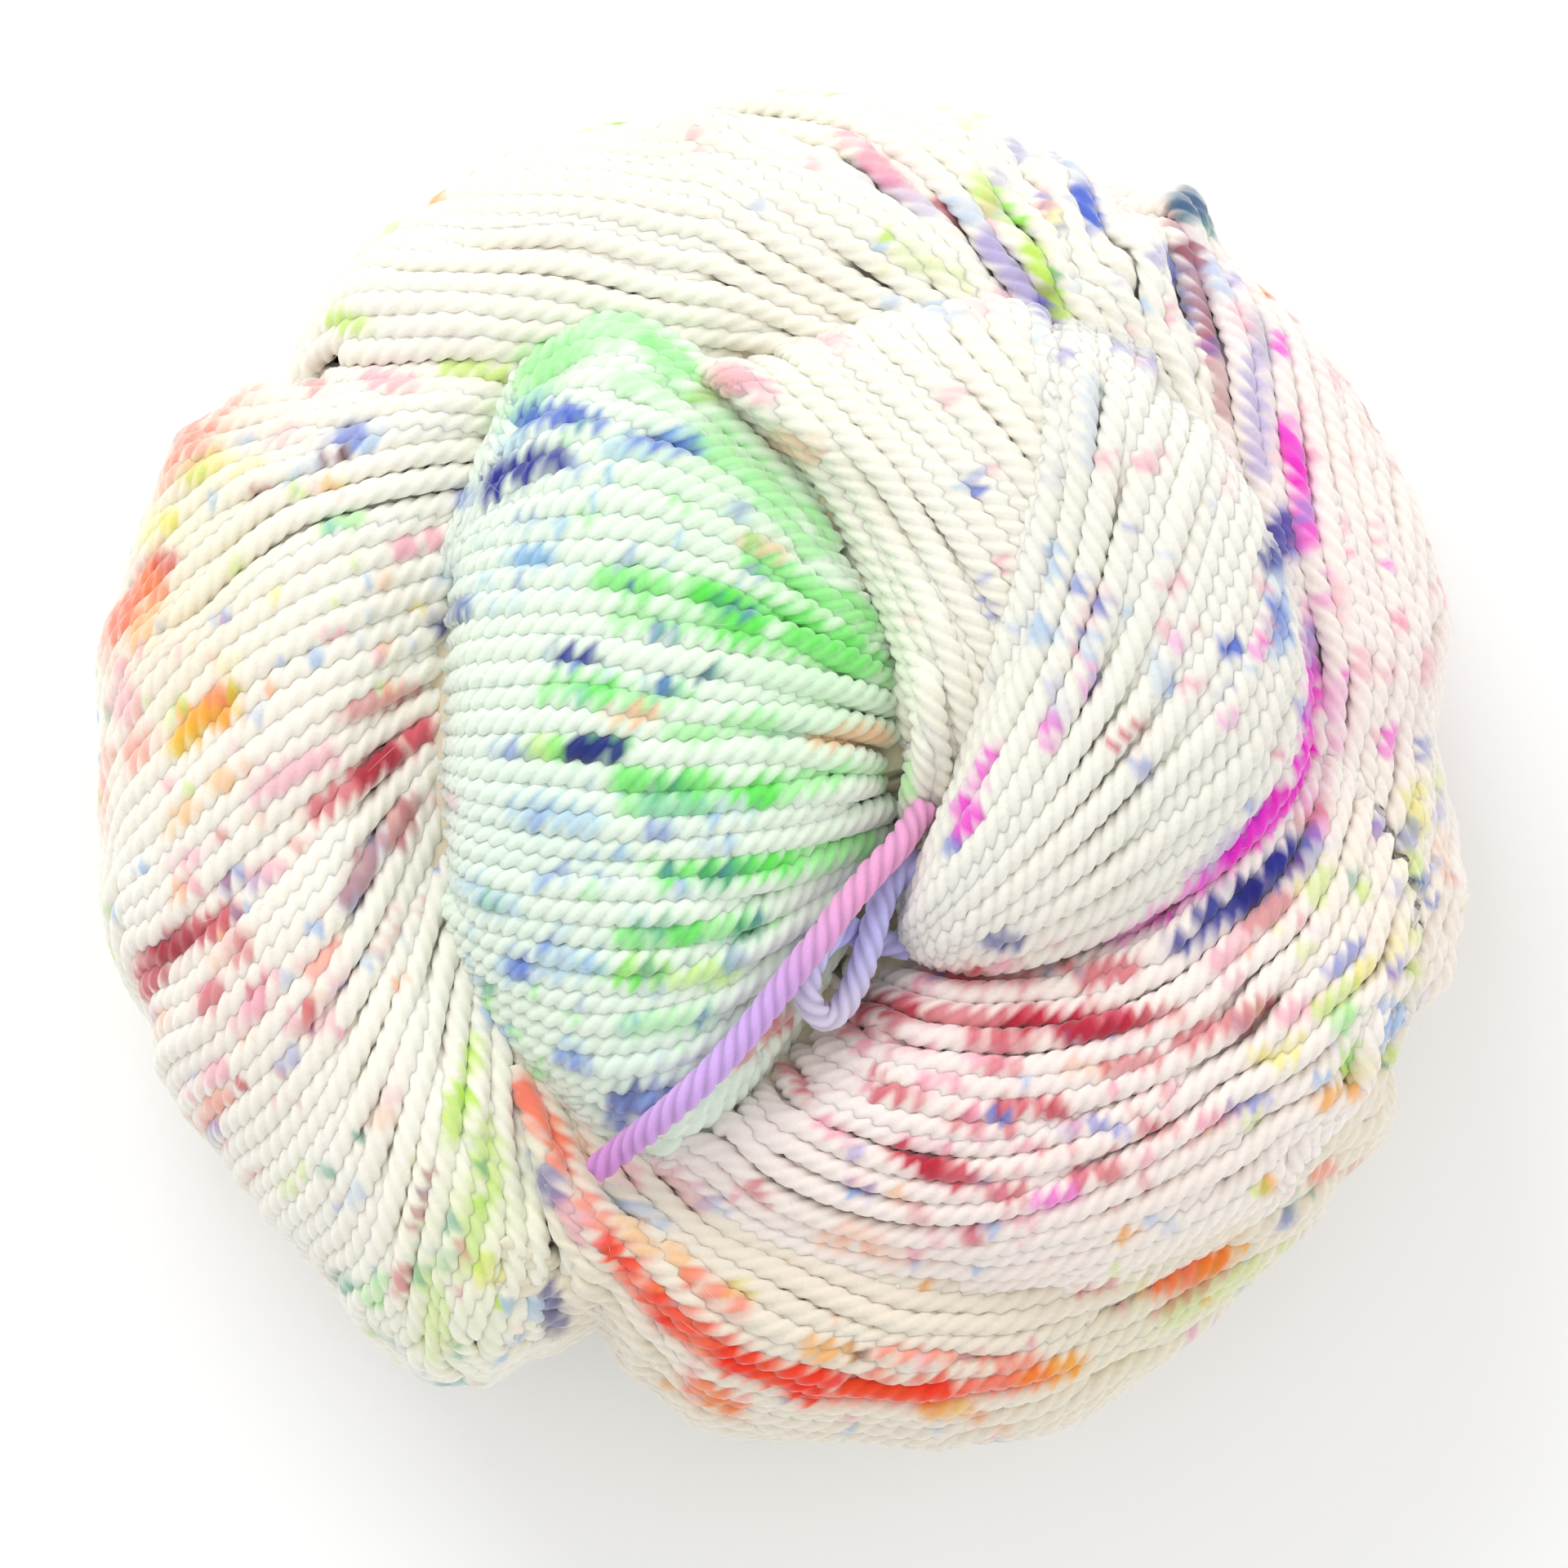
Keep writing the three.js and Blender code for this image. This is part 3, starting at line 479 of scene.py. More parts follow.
RIGHT_RING = Sheaf("right_ring_and_red_lobe_strands", Cover.RING_AND_LOBE, 1.98, 6.6, Finish.BLUSH, (
    Guide(((6, -13.5), (11, -14.3), (16, -14.6), (23, -13.2), (31, -10), (37, -6), (41, -1), (42.5, 5),
           (42, 12), (41, 18), (39.5, 25), (38, 31), (37, 36), (36, 40), (34.5, 44)),
          ((60.5, 3), (76, -46), (93, -92), (105, -125), (117, -168))),
    Guide(((5, -16.5), (10, -17.4), (16, -18.3), (22, -18.4), (30, -16.3), (37, -11.5), (43, -4.5),
           (45.5, 3), (45.3, 10), (44, 17), (42, 26), (40.5, 34), (38, 41))),
    Guide(((3, -18.5), (7, -20), (13, -21.3), (20, -22), (28, -20.8), (35, -17.8), (42, -12), (46.5, -4),
           (48, 5), (47, 14), (45.3, 23), (43.5, 32), (41.5, 38))),
    Guide(((0, -21), (4, -24), (9.5, -26.3), (17, -27.5), (25, -26.8), (33, -23.8), (40, -18.5),
           (46.5, -11.5), (50, -2), (50.5, 8), (49.3, 18), (47, 27), (44.5, 35))),
    Guide(((-2.5, -24), (1, -27.3), (6.5, -30.3), (12.5, -32), (20, -32), (28, -29.6), (36.5, -24.4),
           (44.5, -18), (50.5, -9), (52.6, 0), (52.3, 10), (50.8, 20), (49, 28))),
    Guide(((-5.5, -27), (-1.5, -31), (3.5, -34.2), (9.5, -36), (17.5, -36), (26, -33.4), (35, -29),
           (43, -24), (49, -18.5), (53, -10), (53.4, 0), (53, 8), (53, 15))),
    Guide(((-8, -29.5), (-3.5, -33.8), (1.5, -36.8), (7, -38.4), (13, -39.3), (21.3, -38.7), (31.7, -35.6),
           (40.5, -30.3), (47.8, -23.6), (52.3, -15.8), (54.8, -7), (55.4, 2)),
          ((367, -10), (380, -52), (397, -98), (409, -125), (421, -168))),
    Guide(((-10, -31), (-5, -35.5), (0.5, -38.5), (6, -40.7), (13, -42.2), (22.6, -42.8), (32.5, -40.2),
           (41.6, -34.8), (48.6, -28.2), (52.8, -20.5), (55.5, -12)),
          ((352, -8), (366, -50), (384, -96), (396, -125), (408, -168))),
), lobe=RED_LOBE, seed=13)
LEFT_FAN = Sheaf("left_fan_strands", Cover.RING, 1.95, 7.2, Finish.CREAM, (
    Guide(((-20, 32), (-30, 33.9), (-38, 34), (-43, 33)),
          ((144.5, 0), (154, -43), (169.5, -88), (183, -125), (195, -168))),
    Guide(((-22, 29), (-32, 28.5), (-40, 26), (-47, 22.5), (-52, 18))),
    Guide(((-25, 22), (-35, 20), (-43, 16), (-50, 10), (-55, 3))),
    Guide(((-27, 12), (-36, 9), (-44, 4), (-51, -3), (-55.5, -9))),
    Guide(((-28, 5), (-36, 0), (-43, -6), (-50, -13), (-54, -17))),
    Guide(((-28, -1), (-33, -8), (-38, -15), (-44, -22), (-49, -28))),
    Guide(((-26, -7), (-30, -16), (-34, -25), (-38, -33), (-41, -38))),
    Guide(((-24.5, -13), (-27.5, -24), (-29, -34), (-31, -43), (-32, -46.5))),
    Guide(((-23, -18), (-24, -28), (-24, -38), (-25.5, -47.5))),
    Guide(((-21.5, -23), (-21.5, -32), (-20.5, -40), (-20.5, -46.5)),
          ((249.5, -4), (260.5, -47), (274, -92), (286, -125), (298, -168))),
), seed=14)
# its darker beige finish is painted shade, for the ring's lower side that faces away from the light
BOTTOM_RING = Sheaf("bottom_ring_strands", Cover.RING, 1.98, 7.2, Finish.PAINTED_SHADE_BEIGE, (
    Guide(((-9, -29), (-4, -34), (2, -37.7), (8, -40.3), (14, -41.6), (21, -41.4), (29, -39.2), (37, -35),
           (44.3, -29.4), (50, -23.2)),
          ((344, -8), (356, -50), (371, -95), (383, -125), (395, -168))),
    Guide(((-10, -30), (-5, -35.5), (1, -39), (7, -42), (13, -43.3), (20, -43.5), (28, -41.5), (36, -37.5),
           (43, -32.3), (49, -26)),
          ((338, -6), (350, -49), (365, -94), (377, -125), (389, -168))),
    Guide(((-15, -28), (-10, -36), (-3, -41), (5, -45), (15, -46.5), (25, -45), (34, -40), (42, -34.5)),
          ((331, -8), (343, -52), (357, -96), (368, -125), (380, -168))),
    Guide(((-20, -24), (-18, -31), (-14, -38), (-9, -43), (-2, -47), (5, -49), (14, -49.2), (21, -48),
           (30, -44.8), (38, -40)),
          ((325, -10), (338, -54), (352, -98), (360, -125), (372, -168))),
    Guide(((-20, -30), (-19.5, -34), (-16, -41), (-10, -47), (-3, -51), (6, -52), (15, -52), (25, -49),
           (34, -43.8)),
          ((318, -12), (331, -56), (345, -100), (353, -125), (365, -168))),
    Guide(((-19.5, -37), (-18, -41), (-14, -46), (-9, -50.5), (-3, -53), (6, -53.9), (15, -54),
           (24, -51.4), (30, -48)),
          ((311, -14), (324, -58), (338, -102), (346, -125), (358, -168))),
    Guide((), ((250, -4), (258, -10), (270, -15), (284, -20), (298, -30), (310, -52), (322, -86),
               (336, -125), (348, -168))),
    Guide((), ((253, -18), (262, -27), (275, -38), (290, -54), (305, -84), (322, -125), (334, -168))),
    Guide((), ((257, -34), (266, -47), (278, -66), (292, -96), (306, -125), (318, -168))),
    Guide((), ((259, -42), (266, -66), (276, -92), (288, -125), (300, -168))),
), seed=15)
GREEN_STRANDS = Sheaf("green_lobe_strands", Cover.LOBE, 2.35, 6.2, Finish.MINT, (
    Guide(((-22.5, 26.5), (-21.5, 33), (-18, 37), (-14.4, 38.2), (-10.7, 37.4), (-7, 34.3), (-2, 29),
           (3.3, 22))),
    Guide(((-25, 24), (-22.5, 29.5), (-18.7, 33), (-14.5, 34.2), (-10.5, 33), (-5.5, 29.2), (0, 24.3),
           (5, 17.5))),
    Guide(((-26.5, 20.5), (-25, 25), (-21.5, 29), (-16.5, 31.3), (-10.5, 30.3), (-4, 26), (2, 20), (7, 14))),
    Guide(((-28, 17.5), (-24.3, 22.3), (-19.5, 25.5), (-13, 26.9), (-7, 25.5), (0, 21), (4.5, 16),
           (8.5, 11))),
    Guide(((-30, 14.5), (-26.5, 18.7), (-21.5, 20.2), (-14, 20.6), (-8, 19.6), (-1, 16.8), (5, 13),
           (9.5, 9.5))),
    Guide(((-31, 11), (-27.5, 13.7), (-23, 14.5), (-16, 14.7), (-10, 14.3), (-3, 13), (4, 10.7),
           (10.5, 7.5))),
    Guide(((-32, 7.5), (-28, 8.2), (-24, 8.8), (-17, 9), (-10, 8), (0, 7), (6, 6), (11.5, 4.7))),
    Guide(((-32, 3), (-28, 3), (-24, 3), (-17, 3), (-10, 2.5), (0, 2.5), (6, 2), (12.5, 1))),
    Guide(((-32, 0.5), (-27.5, -1.3), (-23, -2.5), (-17, -3.3), (-10, -3.5), (0, -2.5), (6, -1.7),
           (12.5, -0.3))),
    Guide(((-31.5, -4), (-27, -6.5), (-22, -7.7), (-16, -8.4), (-10, -8.5), (-3, -8), (3, -6.5),
           (10, -3.5))),
    Guide(((-29.5, -8.5), (-25, -12), (-20, -13.5), (-14, -14.3), (-9, -14), (-3, -12), (2, -9.5),
           (8, -5.5))),
    Guide(((-27.5, -13), (-23, -16.8), (-18, -18.8), (-13, -19.3), (-8, -18.5), (-3, -16.5), (1, -13.5),
           (6.5, -9))),
    Guide(((-25, -17), (-20, -22), (-15.5, -24), (-11, -24), (-6.5, -22.5), (-2.5, -20), (1, -16.5),
           (5.5, -12))),
    Guide(((-21.5, -21.5), (-16, -26.3), (-12, -28), (-8, -27.8), (-5, -26), (-2.5, -23.5), (0, -20),
           (3.5, -15.5))),
    Guide(((-19, -23.5), (-14, -28.5), (-10, -30.2), (-6.5, -29.5), (-4, -27.5), (-2, -25), (0, -22),
           (3, -17.5))),
), lobe=GREEN_LOBE, borders=0, seed=16)
SECOND_STRANDS = Sheaf("second_lobe_strands", Cover.LOBE, 2.2, 6.2, Finish.CREAM, (
    Guide(((-10.5, 36), (-7.5, 33.6), (-4.5, 31.2), (-0.3, 27), (3.2, 22), (6.2, 16), (8.5, 9), (9.8, 3),
           (10.4, -1), (10.6, -6))),
    Guide(((-8, 37), (-4.5, 34.5), (-1.5, 32), (2, 28.5), (6.5, 22.8), (10.5, 16), (13.5, 9.5), (15, 4),
           (15.5, -1))),
    Guide(((-2.5, 38.5), (1.5, 34.6), (5, 31.2), (10, 25.7), (15, 18.9), (18.5, 13), (20.5, 8), (21.5, 4))),
    Guide(((2.5, 40.5), (6, 36.2), (9, 33.2), (14, 28.4), (18, 24), (21.5, 19), (24.5, 13))),
    Guide(((8.5, 41.8), (11, 37.6), (13.5, 34.8), (17, 31.2), (20.5, 27), (24, 22.5), (28, 18))),
    Guide(((14.5, 42.2), (15.7, 38.5), (17, 36), (19, 33.2), (21.5, 30.5), (24.5, 27.5), (28.5, 24))),
    Guide(((20.5, 41), (20.6, 38.2), (21, 36), (22.5, 34.3), (25, 32), (28.5, 29.5))),
), lobe=SECOND_LOBE, rests_on=(GREEN_LOBE,), borders=0, seed=17)
THIRD_STRANDS = Sheaf("third_lobe_strands", Cover.LOBE, 2.2, 6.2, Finish.IVORY, (
    Guide(((21, 38.5), (21.2, 35), (20.9, 31), (20.2, 25), (18.9, 19), (17.2, 13), (14.9, 6.5), (12.9, 0.5),
           (11.4, -5), (9.8, -10.5))),
    Guide(((24.5, 39.5), (24.5, 36), (24.3, 31), (23.6, 24), (22.1, 17), (19.8, 10), (16.6, 3), (13, -4),
           (9.4, -11))),
    Guide(((31.5, 36.5), (30.8, 32.5), (29.3, 27), (27.5, 20), (25.6, 13), (22.6, 6), (18.4, -1),
           (13.6, -7.4), (9, -13))),
    Guide(((37.5, 31.5), (35.6, 27.5), (33.9, 22), (31.8, 15.5), (28.5, 8.5), (24.3, 2.3), (18.5, -4.5),
           (13.4, -9.9), (8.8, -14))),
    Guide(((42, 26.5), (39.8, 22), (38.2, 16.5), (36, 10), (32, 3.8), (26.5, -2.5), (20.2, -8),
           (14.2, -12), (8.8, -15))),
    Guide(((44.5, 17), (42, 12.5), (40.8, 7), (38, 0.5), (32, -4.8), (25, -9.5), (18.7, -12.5),
           (13, -14.3), (8, -15.8))),
    Guide(((46, 9), (43.3, 4.5), (41.3, -0.8), (36.5, -6.4), (30.5, -10.6), (24.5, -13.6), (18.5, -15.2),
           (12.5, -15.8), (8, -16.8))),
), lobe=THIRD_LOBE, rests_on=(SECOND_LOBE, RED_LOBE), borders=0, seed=18)
# its darker beige finish is painted shade, for the lobe's side that faces away from the light
RED_WALL = Sheaf("red_lobe_side_strands", Cover.LOBE, 1.98, 7.2, Finish.PAINTED_SHADE_BEIGE, (
    Guide(((-8, -33.5), (-4.5, -35.6), (4, -39), (13, -41.5), (22, -42.1), (31.2, -39.5), (40.3, -34),
           (48.5, -25.4), (52.6, -14))),
    Guide(((-10, -37.5), (-6.5, -39.8), (2.2, -43.8), (12.2, -46.7), (22.4, -47.3), (33, -44.4),
           (43.6, -38), (52.8, -28), (57.6, -14.6))),
), lobe=RED_LOBE, borders=0, deep=9, seed=19)
SHEAVES = (TOP_RING, UPPER_RIGHT_RING, RIGHT_RING, LEFT_FAN, BOTTOM_RING, GREEN_STRANDS,
           SECOND_STRANDS, THIRD_STRANDS, RED_WALL)

# Routes of the tie yarn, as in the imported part: x, y, z.
TIE_TAIL = (
    (10.4, -3.2, 43.8), (9.7, -4.2, 45), (9, -5.2, 45.9), (7, -7.3, 46.9), (4.5, -10.3, 47.8),
    (3.3, -12, 48.1), (2, -13.6, 48.2), (-0.5, -16.8, 47.6), (-3, -20, 47.3), (-5.5, -22.8, 47.3),
    (-6.8, -24.1, 47.1), (-8, -25.2, 46.7), (-10.5, -27.4, 44.9), (-11.8, -28.5, 43.4),
    (-13, -29.4, 42.1), (-15.2, -31.2, 40.8),
)
TIE_LOOP = (
    (10.5, -6.5, 43.4), (9.5, -7.1, 43.4), (8.3, -8.5, 43.8), (7.8, -9.8, 44.3), (7.4, -11, 44.6),
    (6.7, -13.5, 44.4), (5.8, -16, 43.6), (4.6, -18.1, 43.2), (3.7, -18.7, 43.3), (2.9, -18.7, 43.6),
    (1.9, -17.2, 44.5), (2.1, -14.9, 45.3), (3.2, -12.8, 45.3), (5, -11.8, 43.2), (6.1, -12.2, 41.4),
    (7.2, -12.6, 40.2), (8.9, -12.9, 39.9),
)
TAIL_DIAMETER = 2.4
LOOP_DIAMETER = 2.3
# Where the tie goes on into the bun, out of sight: before its first point, after its last one.
TAIL_ROOTS = (((11.3, -2, 42.5),), ())
LOOP_ROOTS = (((11.85, -6.1, 42.9),), ((10.1, -13.2, 39.6),))


@dataclass(frozen=True)
class StrandShape:
    """How a strand is made: sides round it, its steps, and how it crowds, wanders and ends."""

    plies: int = 4
    sides_per_ply: int = 3
    step: float = 0.6
    fullness: float = 0.67  # radius as a share of the pitch
    section: tuple[float, ...] = (0.78, 1.0, 1.0)  # groove first
    coarse_below: float = 14  # height under which every second step is left out
    border_sink: float = 0.6
    crowd_sink: float = 2.5
    shortest_crowded: float = 16  # a shorter stretch between two pinches stays buried
    lobe_upright: float = 0.6  # how much a lobe's strands are set in from above, not sideways
    stack: float = 0.9  # how far a lobe's strands lie above those of a lobe under it
    wander: float = 0.16
    lift: float = 0.2
    lead_in: float = 6  # how far a guide starts before its first point, under a lobe
    held: float = 12  # length at each guide's start along which no strand is crowded out
    tuck: float = 2.6
    tuck_length: float = 7
    most_triangles: int = 180_000


@dataclass(frozen=True)
class CameraShape:
    """The camera: straight above, long lens; width of view at the height of the outline."""

    distance: float = 1.6
    view_width: float = 0.128
    sensor: float = 36
    height: float = 0.023


STRAND = StrandShape()
CAMERA = CameraShape()
RING = RingShape()
UNDER_DRIFT = 0.33  # how far a strand travels round while it rolls under, degrees per degree
UNDER_ROLLS = (-45, -90, -125, -168)
GUIDE_SAMPLES = 40  # fine steps for each point of a guide, when its points are spread evenly
RIM_SAMPLES = 12  # fine steps for each point of a lobe's outline
TINY = 1e-6  # keeps a division from meeting zero
OUTSIDE = -99  # height that stands for nothing there


def linear_colour(hex_colour: str) -> tuple[float, float, float]:
    """Turns an sRGB hex colour into linear values.

    Args:
        hex_colour: the colour as "#rrggbb".

    Returns:
        Linear red, green and blue, 0 to 1.
    """
    values = [int(hex_colour[i : i + 2], 16) / 255 for i in (1, 3, 5)]
    return tuple(v / 12.92 if v <= 0.04045 else ((v + 0.055) / 1.055) ** 2.4 for v in values)


def smooth(t: np.ndarray) -> np.ndarray:
    """Eases values from 0 to 1, clipped at both ends."""
    t = np.clip(t, 0, 1)
    return t * t * (3 - 2 * t)


def catmull_rom(rows: np.ndarray, at: np.ndarray) -> np.ndarray:
    """Reads a smooth curve through rows.

    Args:
        rows: the points that the curve passes, along the first axis.
        at: places in row numbers, which may lie a little outside the rows.

    Returns:
        The curve's points, one for each place.
    """
    padded = np.concatenate([2 * rows[:1] - rows[1:2], rows, 2 * rows[-1:] - rows[-2:-1]])
    cell = np.clip(np.floor(at).astype(int), 0, len(rows) - 2)
    t = (at - cell).reshape((-1,) + (1,) * (rows.ndim - 1))
    p0, p1, p2, p3 = (padded[cell + i] for i in range(4))
    bent = 0.5 * (
        2 * p1 + (p2 - p0) * t + (2 * p0 - 5 * p1 + 4 * p2 - p3) * t**2
        + (3 * p1 - p0 - 3 * p2 + p3) * t**3
    )
    straight = p1 + (p2 - p1) * t
    return np.where((t < 0) | (t > 1), straight, bent)


def resample(rows: np.ndarray, scale: np.ndarray, count: int) -> np.ndarray:
    """Spreads a guide's points evenly along its length.

    Args:
        rows: the guide's chart points.
        scale: millimetres for each chart unit.
        count: how many points to return.

    Returns:
        The evenly spread chart points.
    """
    fine = catmull_rom(rows, np.linspace(0, len(rows) - 1, GUIDE_SAMPLES * len(rows)))
    steps = np.linalg.norm(np.diff(fine * scale, axis=0), axis=1)
    along = np.concatenate([[0], np.cumsum(steps)])
    want = np.linspace(0, along[-1], count)
    return np.stack([np.interp(want, along, fine[:, i]) for i in range(fine.shape[1])], axis=1)


def unit(vectors: np.ndarray) -> np.ndarray:
    """Scales vectors to length 1."""
    return vectors / np.maximum(np.linalg.norm(vectors, axis=-1, keepdims=True), 1e-9)


def wandering(rng: np.random.Generator, count: int, length: float, wavelength: float) -> np.ndarray:
    """Makes a smooth seeded wander along a strand.

    Args:
        rng: the random source.
        count: how many values to return.
        length: the strand's length.
        wavelength: distance between the wander's knots.

    Returns:
        Values mostly within -1 to 1.
    """
    knots = max(4, int(length / wavelength) + 3)
    return catmull_rom(rng.normal(0, 0.5, (knots, 1)), np.linspace(0, knots - 1.001, count))[:, 0]


class Lobe:
    """The pillow form of one lobe."""

    WALL = 0.03  # share of the lobe's radius in which its crown turns down
    RIM = 0.9995  # share of the radius that a point on the wall keeps at most
    WALL_SLOPE = 1.2  # how far the wall drops for each millimetre beyond the outline

    def __init__(self, shape: LobeShape) -> None:
        """Reads the lobe's outline round its middle.

        Args:
            shape: its sizes and outline.
        """
        self.shape = shape
        corners = np.array(shape.outline, float)
        closed = np.concatenate([corners[-3:], corners, corners[:3]])
        line = catmull_rom(closed, np.linspace(3, len(corners) + 3, RIM_SAMPLES * len(corners)))
        away = line - np.array(shape.middle)
        angle = np.degrees(np.arctan2(away[:, 1], away[:, 0])) % 360
        order = np.argsort(angle)
        self.rim_angle = angle[order]
        self.rim_radius = np.linalg.norm(away, axis=1)[order]

    def out(self, x: np.ndarray, y: np.ndarray) -> tuple[np.ndarray, np.ndarray]:
        """Finds how far out plan points are.

        Args:
            x: their places across.
            y: their places along.

        Returns:
            The share of the way to the outline, 1 on it, and the outline's radius there.
        """
        dx, dy = x - self.shape.middle[0], y - self.shape.middle[1]
        rim = np.interp(
            np.degrees(np.arctan2(dy, dx)) % 360, self.rim_angle, self.rim_radius, period=360
        )
        return np.hypot(dx, dy) / rim, rim

    def height(self, x: np.ndarray, y: np.ndarray, share: np.ndarray | None = None) -> np.ndarray:
        """Reads the height of the lobe over plan points.

        Args:
            x: their places across.
            y: their places along.
            share: how far out they are, if that is known.

        Returns:
            Heights, far below the bun outside the outline.
        """
        s = self.shape
        if share is None:
            share = self.out(x, y)[0]
        crown = np.clip(1 - np.clip(share, 0, 1) ** s.roundness, 0, 1) ** (1 / s.roundness)
        foot = s.foot + s.lean * (x - s.middle[0])
        return np.where(share >= 1, OUTSIDE, foot + (s.crown - s.foot) * crown)

    def place(self, chart: np.ndarray) -> np.ndarray:
        """Puts plan points on the lobe; beyond its outline they go down its wall.

        Args:
            chart: plan points, x and y in the last axis.

        Returns:
            Points with x, y and z in the last axis.
        """
        x, y = chart[..., 0], chart[..., 1]
        share, rim = self.out(x, y)
        start = 1 - self.WALL
        turned = np.where(share > start, 1 - self.WALL * np.exp(-(share - start) / self.WALL), share)
        turned = np.minimum(turned, self.RIM)
        scale = turned / np.maximum(share, TINY)
        mx, my = self.shape.middle
        px, py = mx + (x - mx) * scale, my + (y - my) * scale
        z = self.height(px, py, turned) - self.WALL_SLOPE * np.maximum(share - 1, 0) * rim
        return np.stack([px, py, z], axis=-1)


class Ring:
    """The ring's skin, read by bearing and by roll round its section."""

    CREASE_SHARE = 0.7  # strands bridge the bottom of a crease
    BLEND = 1.6  # how softly the skin goes over into a lobe
    BLEND_DROP = 0.25  # takes back a part of what that adds where both are equally high

    def __init__(self, shape: RingShape, lobes: Iterable[Lobe]) -> None:
        """Keeps the ring's sizes.

        Args:
            shape: its sizes.
            lobes: the lobes that press on it.
        """
        self.shape = shape
        self.lobes = tuple(lobes)
        self.table = np.array(OUTLINE, float)

    def edge(self, bearing: np.ndarray) -> np.ndarray:
        """Reads the bun's outline.

        Args:
            bearing: bearings in degrees.

        Returns:
            The distance from the middle to the outermost edge at each.
        """
        angles, radii = self.table[:, 0], self.table[:, 1]
        at = np.asarray(bearing, float) % 360
        after = np.searchsorted(angles, at, side="right")
        before = after - 1
        a0, r0 = angles[before], radii[before]
        last = after >= len(angles)
        a1 = np.where(last, 360.0, angles[np.where(last, 0, after)])
        r1 = radii[np.where(last, 0, after)]
        return r0 + (r1 - r0) * smooth((at - a0) / (a1 - a0))

    def crease_depth(self, bearing: np.ndarray, roll: np.ndarray) -> np.ndarray:
        """Works out how far the creases sink the skin.

        Args:
            bearing: bearings in degrees.
            roll: rolls round the section in degrees.

        Returns:
            The depth at each place.
        """
        across = math.radians(self.shape.crown_radius + self.shape.tube / 2)
        scale = np.array([across, math.radians(self.shape.tube)])
        depth = np.zeros(np.shape(bearing))
        for crease in CREASES:
            line = np.array(crease.line, float) * scale
            nearest = np.full(np.shape(bearing), np.inf)
            for turn in (-360, 0, 360):
                p = np.stack([(bearing % 360) + turn, roll], axis=-1) * scale
                for a, b in zip(line[:-1], line[1:]):
                    share = np.clip((p - a) @ (b - a) / ((b - a) @ (b - a)), 0, 1)
                    away = np.linalg.norm(p - a - share[..., None] * (b - a), axis=-1)
                    nearest = np.minimum(nearest, away)
            sunk = self.CREASE_SHARE * crease.depth * np.exp(-((nearest / crease.width) ** 2))
            depth = np.maximum(depth, sunk)
        return depth

    def pressed(self, x: np.ndarray, y: np.ndarray) -> np.ndarray:
        """Works out how far the lobes press down the ring beside them.

        Args:
            x: places across.
            y: places along.

        Returns:
            The depth at each place.
        """
        depth = np.zeros(np.shape(x))
        for lobe in self.lobes:
            share, rim = lobe.out(x, y)
            away = np.maximum(share - 1, 0) * rim
            depth = np.maximum(
                depth, self.shape.lobe_sink * np.exp(-((away / self.shape.lobe_reach) ** 2))
            )
        return depth

    def chart(self, plan: Plan) -> np.ndarray:
        """Turns plan points on the upper side into chart points.

        Args:
            plan: the plan points.

        Returns:
            Their bearings and rolls, in degrees.
        """
        x, y = np.array(plan, float).T
        bearing = np.degrees(np.arctan2(y, x)) % 360
        centre = self.shape.crown_radius
        out = (np.hypot(x, y) - centre) / (self.edge(bearing) - centre)
        return np.stack([bearing, np.degrees(np.arccos(np.clip(out, -1, 1)))], axis=1)

    def place(self, chart: np.ndarray, over: Lobe | None = None) -> np.ndarray:
        """Puts chart points on the skin.

        Args:
            chart: bearing and roll in the last axis, in degrees.
            over: a lobe that the skin rises over.

        Returns:
            Points with x, y and z in the last axis.
        """
        s = self.shape
        bearing, roll = chart[..., 0], chart[..., 1]
        upper = roll >= 0
        power = np.where(upper, 2.0, s.belly_roundness)
        cos, sin = np.cos(np.radians(roll)), np.sin(np.radians(roll))
        fit = (np.abs(cos) ** power + np.abs(sin) ** power) ** (-1 / power)
        centre = np.where(upper, s.crown_radius, s.rest_radius)
        edge = self.edge(bearing)
        turn = np.radians(bearing)
        sink = self.crease_depth(bearing, roll)
        flat = centre + cos * fit * (edge - centre)
        beside = self.pressed(flat * np.cos(turn), flat * np.sin(turn)) * np.clip(sin, 0, 1)
        sink = np.maximum(sink, beside)
        share = fit * (1 - sink / s.tube)
        radius = centre + cos * share * (edge - centre)
        x, y = radius * np.cos(turn), radius * np.sin(turn)
        z = s.middle + sin * share * np.where(upper, s.rise, s.belly)
        z = np.where(upper & (radius < s.crown_radius), np.maximum(z, s.hub_top), np.maximum(z, 0))
        dish = s.dish_height * (1 - (radius / s.dish_radius) ** 2)
        z = np.where(~upper & (radius < s.dish_radius), np.minimum(z, np.maximum(dish, 0)), z)
        if over is not None:
            top = over.height(x, y)
            raised = 0.5 * (z + top + np.hypot(z - top, self.BLEND)) - self.BLEND_DROP
            z = np.where(upper & (top > 0), np.maximum(raised, z), z)
        return np.stack([x, y, z], axis=-1)


